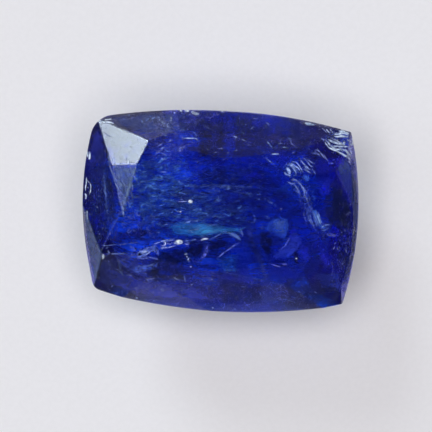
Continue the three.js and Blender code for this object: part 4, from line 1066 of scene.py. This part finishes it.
# dark sheets just under the skin along the right end, the left end and the back left rim: painted shade
for outline, fade in [
    ([(5.00, 2.18), (5.31, 1.52), (5.45, 0.21), (5.45, -1.29), (5.21, -2.75), (5.17, -3.00), (5.19, -2.62), (5.33, -1.39), (5.25, 0.24),
      (5.09, 1.55)], 0.9),
    ([(-5.41, -0.12), (-5.29, -1.35), (-5.03, -2.43), (-4.74, -3.31), (-4.59, -2.30), (-4.51, -1.85), (-4.98, -1.13)], 0.85),
    ([(-4.93, 3.31), (-4.51, 3.47), (-3.46, 3.65), (-3.06, 3.71), (-4.23, 3.48), (-4.85, 3.28)], 0.6),
]:
    painted_shade_veils.patch(outline, None, fade, (0.012, 0.018, 0.1), soft=0.04, cell=0.03)
# a dark backing under the bright corner facet at the back left: painted shade
painted_shade_veils.patch([(-4.84, 3.08), (-4.65, 3.13), (-3.03, 2.79), (-3.36, 1.83), (-4.26, 1.73)], None, 1.0, (0.03, 0.045, 0.13), soft=0.02, cell=0.03)

# wear: the crown is frosted with the finest scratches and nicks
frost = Layer(17)
ground_and_shade = Layer(18)
# the star facet at the left gets a matte grey-blue patch that paints the sheen it shows by reflection: painted
# reflection
ground_and_shade.patch([(-4.27, 1.56), (-3.36, 1.66), (-3.74, -0.16)], fade=0.88, rgb=(0.175, 0.255, 0.41), soft=0.04, cell=0.04, skin=True, along=(0.3, 1))
chips.nicks([(-4.26, 1.54), (-3.36, 1.64), (-3.74, -0.12)], 44, 0.5, 0.05, -68, 0.12, 1.0, (0.34, 0.44, 0.72))
chips.nicks([(-4.26, 1.54), (-3.36, 1.64), (-3.74, -0.12)], 44, 0.5, 0.06, -68, 0.12, 1.0, (0.03, 0.06, 0.17))
chips.ribbon([(-3.55, 1.58), (-3.68, 1.10), (-3.76, 0.43)], 0.09, fade=0.5, rgb=(0.22, 0.28, 0.55), taper=0.4, skin=True)
for outline, fade, rgb, soft, along, nicks in [
    ([(-4.86, 3.35), (-3.46, 3.66), (-1.24, 3.84), (-1.18, 2.17), (-2.79, 1.87), (-2.91, 2.83)], 0.2, (0.17, 0.22, 0.62), 0.25, (1, 0.25), 80),
    ([(-1.32, 3.81), (0.18, 3.89), (0.29, 2.28), (-1.10, 2.11)], 0.15, (0.12, 0.14, 0.4), 0.25, (1, 0), 12),
    ([(0.18, 3.85), (2.88, 3.69), (3.88, 3.50), (3.80, 2.54), (2.25, 2.62), (0.45, 2.29)], 0.18, (0.22, 0.25, 0.75), 0.25, (1, -0.4), 36),
    ([(-4.74, -3.13), (-4.14, -2.23), (-2.60, -2.36), (0.15, -2.48), (0.44, -3.81), (-2.16, -3.82), (-4.19, -3.55)], 0.35, (0.34, 0.38, 1.0), 0.25,
     (1, 0.2), 45),
    ([(-0.04, -2.50), (1.73, -2.58), (1.91, -3.71), (0.04, -3.84)], 0.3, (0.36, 0.38, 0.85), 0.25, (1, -0.2), 10),
    ([(1.66, -2.59), (4.52, -2.53), (4.75, -3.15), (2.63, -3.66), (1.75, -3.72)], 0.35, (0.38, 0.4, 0.85), 0.25, (1, -0.6), 45),
    ([(4.49, 1.65), (5.17, 1.62), (5.41, 0.21), (5.37, -1.69), (5.10, -2.60), (4.43, -1.60), (4.72, -0.14)], 0.2, (0.34, 0.38, 0.85), 0.2,
     (0.2, 1), 45),
    ([(-5.00, 3.19), (-4.35, 1.61), (-3.82, -0.28), (-4.32, -1.53), (-5.20, -1.20), (-5.35, 0.89), (-5.27, 2.46)], 0.04, (0.3, 0.45, 0.9), 0.2,
     (0.12, 1), 10),
    ([(-4.65, -1.63), (-3.05, -1.41), (-2.62, -2.02), (-3.48, -2.75), (-4.46, -2.64)], 0.15, (0.34, 0.4, 0.85), 0.2, (1, 0.1), 40),
    ([(-4.27, 1.58), (-3.36, 1.67), (-3.75, -0.16)], 0.3, (0.2, 0.28, 0.42), 0.06, (0.3, 1), 70),
    # the pale frost over the bright corner facet at the back left is partly a painted highlight, adding to the window
    # it reflects
    ([(-4.87, 3.09), (-4.63, 3.16), (-2.99, 2.79), (-3.37, 1.79), (-4.28, 1.69)], 0.2, (0.9, 0.95, 1.0), 0.1, (1, -0.6), 6),
]:
    frost.patch(outline, fade=fade, rgb=rgb, soft=soft, cell=0.07, skin=True, along=along)
    chips.nicks(outline, nicks, 0.2, 0.05, math.degrees(math.atan2(along[1], along[0])), 0.6, 0.85, (0.42, 0.5, 0.9))

chips.nicks([(-4.54, 3.38), (-3.45, 3.63), (-1.24, 3.80), (-1.20, 3.35), (-2.57, 2.96), (-2.96, 2.90), (-4.02, 3.13)], 100, 0.13, 0.045, 15, 0.8,
            0.65, (0.4, 0.48, 0.85))
chips.nicks([(-3.04, 3.50), (-2.18, 3.64), (-2.11, 3.00), (-2.66, 3.03)], 40, 0.12, 0.06, 25, 0.8, 1.0, (0.6, 0.68, 0.95))

# the bevel at the right end and the little facet at the lower left are left unpolished and the crown at the back is
# dull. The matte patches on the skin there and on other crown facets are dark blue: painted shade in place of what
# these facets would reflect.
for outline, fade, rgb in [
    ([(-4.54, 3.38), (-3.45, 3.63), (-2.03, 3.76), (-1.47, 3.76), (-1.57, 3.18), (-2.57, 2.89), (-2.95, 2.83), (-4.02, 3.10)], 0.4, (0.035, 0.06, 0.22)),
    ([(-2.03, 3.81), (-1.09, 3.91), (0.17, 3.98), (1.36, 3.95), (1.47, 3.31), (0.54, 3.17), (-1.02, 3.14), (-1.81, 3.16)], 0.72, (0.013, 0.017, 0.09)),
    ([(1.36, 3.95), (2.24, 3.89), (2.88, 3.80), (2.90, 3.09), (1.48, 3.23)], 0.68, (0.015, 0.022, 0.13)),
    ([(-4.59, -2.30), (-4.14, -2.05), (-3.40, -2.47), (-3.47, -3.11), (-4.36, -3.30), (-4.65, -3.16)], 0.45, (0.04, 0.055, 0.23)),
    ([(2.67, -2.51), (3.28, -2.24), (4.42, -2.40), (4.72, -2.93), (4.10, -3.19), (3.08, -3.43)], 0.55, (0.022, 0.027, 0.15)),
    ([(0.24, -2.52), (1.82, -2.67), (1.90, -3.56), (0.31, -3.68)], 0.35, (0.025, 0.028, 0.13)),
    ([(3.51, -2.93), (4.13, -2.71), (4.78, -2.66), (4.97, -2.97), (4.85, -3.32), (4.20, -3.41), (3.57, -3.50)], 0.7, (0.022, 0.027, 0.13)),
    ([(2.73, -2.30), (3.60, -2.22), (3.77, -2.71), (2.87, -2.92)], 0.6, (0.03, 0.035, 0.17)),
    ([(5.00, 2.56), (5.14, 2.32), (5.31, 1.52), (5.46, 0.20), (5.47, -0.48), (5.33, -0.37), (5.22, 0.24), (5.09, 1.47), (4.97, 2.18)],
     0.85, (0.045, 0.06, 0.23)),
    ([(5.33, -0.37), (5.47, -0.48), (5.45, -1.21), (5.34, -2.06), (5.20, -2.88), (5.08, -2.96), (5.02, -2.66), (5.08, -1.89), (5.20, -1.09)],
     0.85, (0.02, 0.03, 0.16)),
    ([(-5.39, -0.20), (-5.28, -1.35), (-5.06, -2.45), (-4.80, -3.32), (-4.59, -2.30), (-4.53, -1.89), (-4.93, -1.16)], 0.8, (0.085, 0.12, 0.27)),
    ([(4.44, 2.12), (4.64, 2.50), (4.90, 2.30), (5.08, 1.94), (5.18, 1.23), (5.20, 0.64), (4.86, 1.24), (4.61, 1.72)], 0.75,
     (0.062, 0.1, 0.33)),
]:
    ground_and_shade.patch(outline, fade=fade, rgb=rgb, soft=0.03, cell=0.03, skin=True, along=(0.1, 1))

# chips along the rim
for path, width in [
    ([(-1.92, 3.85), (-1.76, 3.84)], 0.08), ([(-1.76, 3.86), (-1.48, 3.85)], 0.1), ([(-1.48, 3.84), (-1.28, 3.80), (-1.08, 3.79)], 0.14),
    ([(-0.30, 3.94), (-0.14, 3.93)], 0.06), ([(-2.15, 3.76), (-2.03, 3.76)], 0.06), ([(-2.25, 3.58), (-2.14, 3.51)], 0.06),
    ([(-5.35, 2.01), (-5.31, 1.86), (-5.32, 1.69)], 0.1), ([(-5.43, 2.06), (-5.41, 1.75)], 0.05), ([(-5.40, 0.92), (-5.22, 0.79), (-5.16, 0.52), (-5.25, 0.27)], 0.045),
    ([(-5.39, 0.38), (-5.34, 0.25), (-5.37, 0.09)], 0.1), ([(-5.38, 1.05), (-5.39, 0.64), (-5.38, 0.41)], 0.045), ([(-5.34, 0.65), (-5.26, 0.55)], 0.04),
    ([(-4.55, -1.92), (-4.49, -2.06), (-4.53, -2.20)], 0.13), ([(-0.10, -3.88), (0.01, -3.89)], 0.06), ([(0.78, -3.89), (0.90, -3.88)], 0.06),
    ([(-4.85, 3.28), (-4.53, 3.33)], 0.05),
    ([(-5.28, -0.30), (-5.21, -0.69)], 0.04), ([(4.96, 3.29), (5.03, 2.94)], 0.05), ([(4.48, 3.55), (4.88, 3.41)], 0.05),
    ([(3.04, 3.71), (3.36, 3.72)], 0.05),
    ([(-4.95, 3.15), (-4.80, 3.22), (-4.60, 3.22), (-4.35, 3.14)], 0.06),
]:
    chips.ribbon(path, width, fade=1.0, rgb=(0.86, 0.94, 1.0), taper=0.2, skin=True, jitter=0.03)

chips.edges(facet_at((-3.90, 2.33)), 0.04, 0.5, (0.7, 0.78, 0.9))
chips.edges(facet_at((-4.93, -2.40)), 0.03, 0.35, (0.4, 0.5, 0.8))
chips.edges(facet_at((-4.89, -0.43)), 0.03, 0.2, (0.5, 0.6, 0.9), only=lambda d: d[1] < 0.3)

ground_and_shade_mat = sheet_material("tanzanite_ground_and_shade", 12.0, 3.0, 0.05, 0.4, 2.0, 0.6, 0.0, shine=0.2)
frost_mat = sheet_material("tanzanite_frost", 30.0, 8.0, 0.56, 0.74, 5.0, 0.6, 0.0, shine=0.2)
haze_and_pavilion_light_mat = sheet_material("tanzanite_haze_and_pavilion_light", 7.0, 1.1, 0.1, 0.75, 1.2, 0.37, 1.0, 0.00002)
fibre_mat = sheet_material("tanzanite_fracture", 26.0, 5.0, 0.3, 0.52, 5.0, 0.42, 1.0, 0.00002)
flake_and_glint_mat = sheet_material("tanzanite_flake_and_glint", 12.0, 2.5, 0.08, 0.42, 2.0, 0.42, 1.0, 0.00001, 0.75)
cloud_and_reflection_mat = sheet_material("tanzanite_cloud_and_reflection", 7.0, 1.6, 0.15, 0.75, 2.4, 0.7, 1.0)
chip_mat = sheet_material("tanzanite_chip", 30.0, 12.0, 0.3, 0.42, 8.0, 0.5, 0.0, 0.00001, deep=(0.82, 0.88, 0.96, 1))
painted_shade_mat = sheet_material("tanzanite_painted_shade", 9.0, 2.5, 0.1, 0.5, 3.0, 0.7, 0.0, shine=0.0)


def needle_material(name, roughness, metallic):
    m, n, out = material(name)
    grain = n.noise(n.millimetres(), 14.0, 2.0, 0.5)
    colour = n.mix_rgb(n.ramp(grain, 0.3, 0.7, 0.0, 0.45), n.attr("tint", "Color"), (1, 1, 1, 1))
    principled(n, out, Base_Color=colour, Roughness=roughness, Metallic=metallic)
    return m


silk_and_pavilion_light.build("silk_and_pavilion_light_sheets", haze_and_pavilion_light_mat)
frost.build("frost", frost_mat)
ground_and_shade.build("ground_and_shade_facets", ground_and_shade_mat)
chips.build("chips", chip_mat)
fibres.build("fractures", fibre_mat)
flakes_and_painted_glints.build("flakes_and_painted_glints", flake_and_glint_mat)
clouds_and_painted_reflection.build("clouds_and_painted_reflection", cloud_and_reflection_mat)
painted_shade_veils.build("painted_shade_veil_mesh", painted_shade_mat)
silk.build("silk", needle_material("tanzanite_silk", 0.5, 1.0))
sparks.build("slivers", needle_material("tanzanite_sliver", 0.4, 1.0))

# ---- floor -----------------------------------------------------------------------------------------
bm = bmesh.new()
bmesh.ops.create_circle(bm, cap_ends=True, segments=96, radius=0.5)
bmesh.ops.translate(bm, verts=bm.verts, vec=(0, 0, -0.00002))
me = bpy.data.meshes.new("floor")
bm.to_mesh(me)
bm.free()
floor = link(bpy.data.objects.new("floor", me))
fm, n, out = material("floor_paper")
fibres = n.noise(n.millimetres(), 5.0, 3.0, 0.6)
tone = n.mix_rgb(n.ramp(fibres, 0.3, 0.7), FLOOR[0], FLOOR[1])
# painted shade: the paper's colour turns grey with distance from the stone, which dims the floor that the facets
# reflect
far = n.vmath("LENGTH", n.vmath("MULTIPLY", n.millimetres(), (1.0, 1.0, 0.0)))
tone = n.mix_rgb(n.ramp(far, *FLOOR_SHADE_FADE), tone, FLOOR_SHADED_FAR)
p = principled(n, out, Base_Color=tone, Roughness=0.8)
n.nt.links.new(n.bump(fibres, 0.00001, 0.4), p.inputs["Normal"])
floor.data.materials.append(fm)

# ---- light -----------------------------------------------------------------------------------------
world = bpy.data.worlds.new("studio")
scene.world = world
world.use_nodes = True
world.node_tree.nodes.clear()
n = Nodes(world.node_tree)
out = n.new("ShaderNodeOutputWorld")
sky = n.new("ShaderNodeBackground")
n.nt.links.new(sky.outputs[0], out.inputs[0])
look = n.vmath("NORMALIZE", n.new("ShaderNodeTexCoord").outputs["Generated"])


def lobe(az, el, inner, outer):
    """A soft patch of light, whole within `inner` degrees of its middle and gone at `outer`."""
    dot = n.vmath("DOT_PRODUCT", look, tuple(direction(az, el)))
    return n.ramp(dot, math.cos(math.radians(outer)), math.cos(math.radians(inner)))


def tinted(value, rgb):
    return n.vmath("SCALE", tuple(rgb), scale=value)


parts = [tinted(lobe(az, el, inner, outer), [value * c for c in rgb]) for az, el, inner, outer, value, rgb in LAMPS]
up = n.new("ShaderNodeSeparateXYZ")
n.put(up.inputs[0], look)
# The ceiling is lit in a broad ring, dark overhead and brighter towards the window.
lo_in, lo_full, hi_full, hi_out = (math.sin(math.radians(e)) for e in RING[:4])
band = n.math("MULTIPLY", n.ramp(up.outputs["Z"], lo_in, lo_full), n.ramp(up.outputs["Z"], hi_full, hi_out, 1.0, 0.0))
toward = n.vmath("DOT_PRODUCT", look, tuple(direction(RING[4], 0)))
band = n.math("MULTIPLY", band, n.ramp(toward, RING[5], RING[6], RING[7], 1.0))
parts.append(tinted(band, RING_RGB))
total = parts[0]
for part in parts[1:]:
    total = n.vmath("ADD", total, part)
total = n.vmath("ADD", total, FILL)
n.nt.links.new(total, sky.inputs["Color"])

# ---- camera ----------------------------------------------------------------------------------------
TILT, ROLL = math.radians(7.5), math.radians(4.0)
FRAME_WIDTH = 17.194 * MM  # what the camera takes in, at the girdle
cam_data = bpy.data.cameras.new("camera")
cam = link(bpy.data.objects.new("camera", cam_data))
cam_data.lens = 150
cam_data.sensor_width = 36
back = Vector((0, math.sin(TILT), math.cos(TILT)))
up0 = Vector((0, math.cos(TILT), -math.sin(TILT)))
right0 = Vector((1, 0, 0))
right = right0 * math.cos(ROLL) + up0 * math.sin(ROLL)
up = up0 * math.cos(ROLL) - right0 * math.sin(ROLL)
centre = Vector((0, 0, 3.7 * MM))
distance = FRAME_WIDTH * cam_data.lens / cam_data.sensor_width
aim = centre - right * (0.187 * MM) - up * (0.223 * MM)
m = Matrix.Identity(4)
for i in range(3):
    m[i][0], m[i][1], m[i][2] = right[i], up[i], back[i]
    m[i][3] = (aim + back * distance)[i]
cam.matrix_world = m
cam_data.clip_start, cam_data.clip_end = 0.001, 2.0
scene.camera = cam

scene.cycles.max_bounces = 32
scene.cycles.glossy_bounces = 32
scene.cycles.transmission_bounces = 32
scene.cycles.diffuse_bounces = 4
scene.cycles.transparent_max_bounces = 64
scene.cycles.caustics_reflective = True
scene.cycles.caustics_refractive = True
scene.view_settings.view_transform = "Standard"
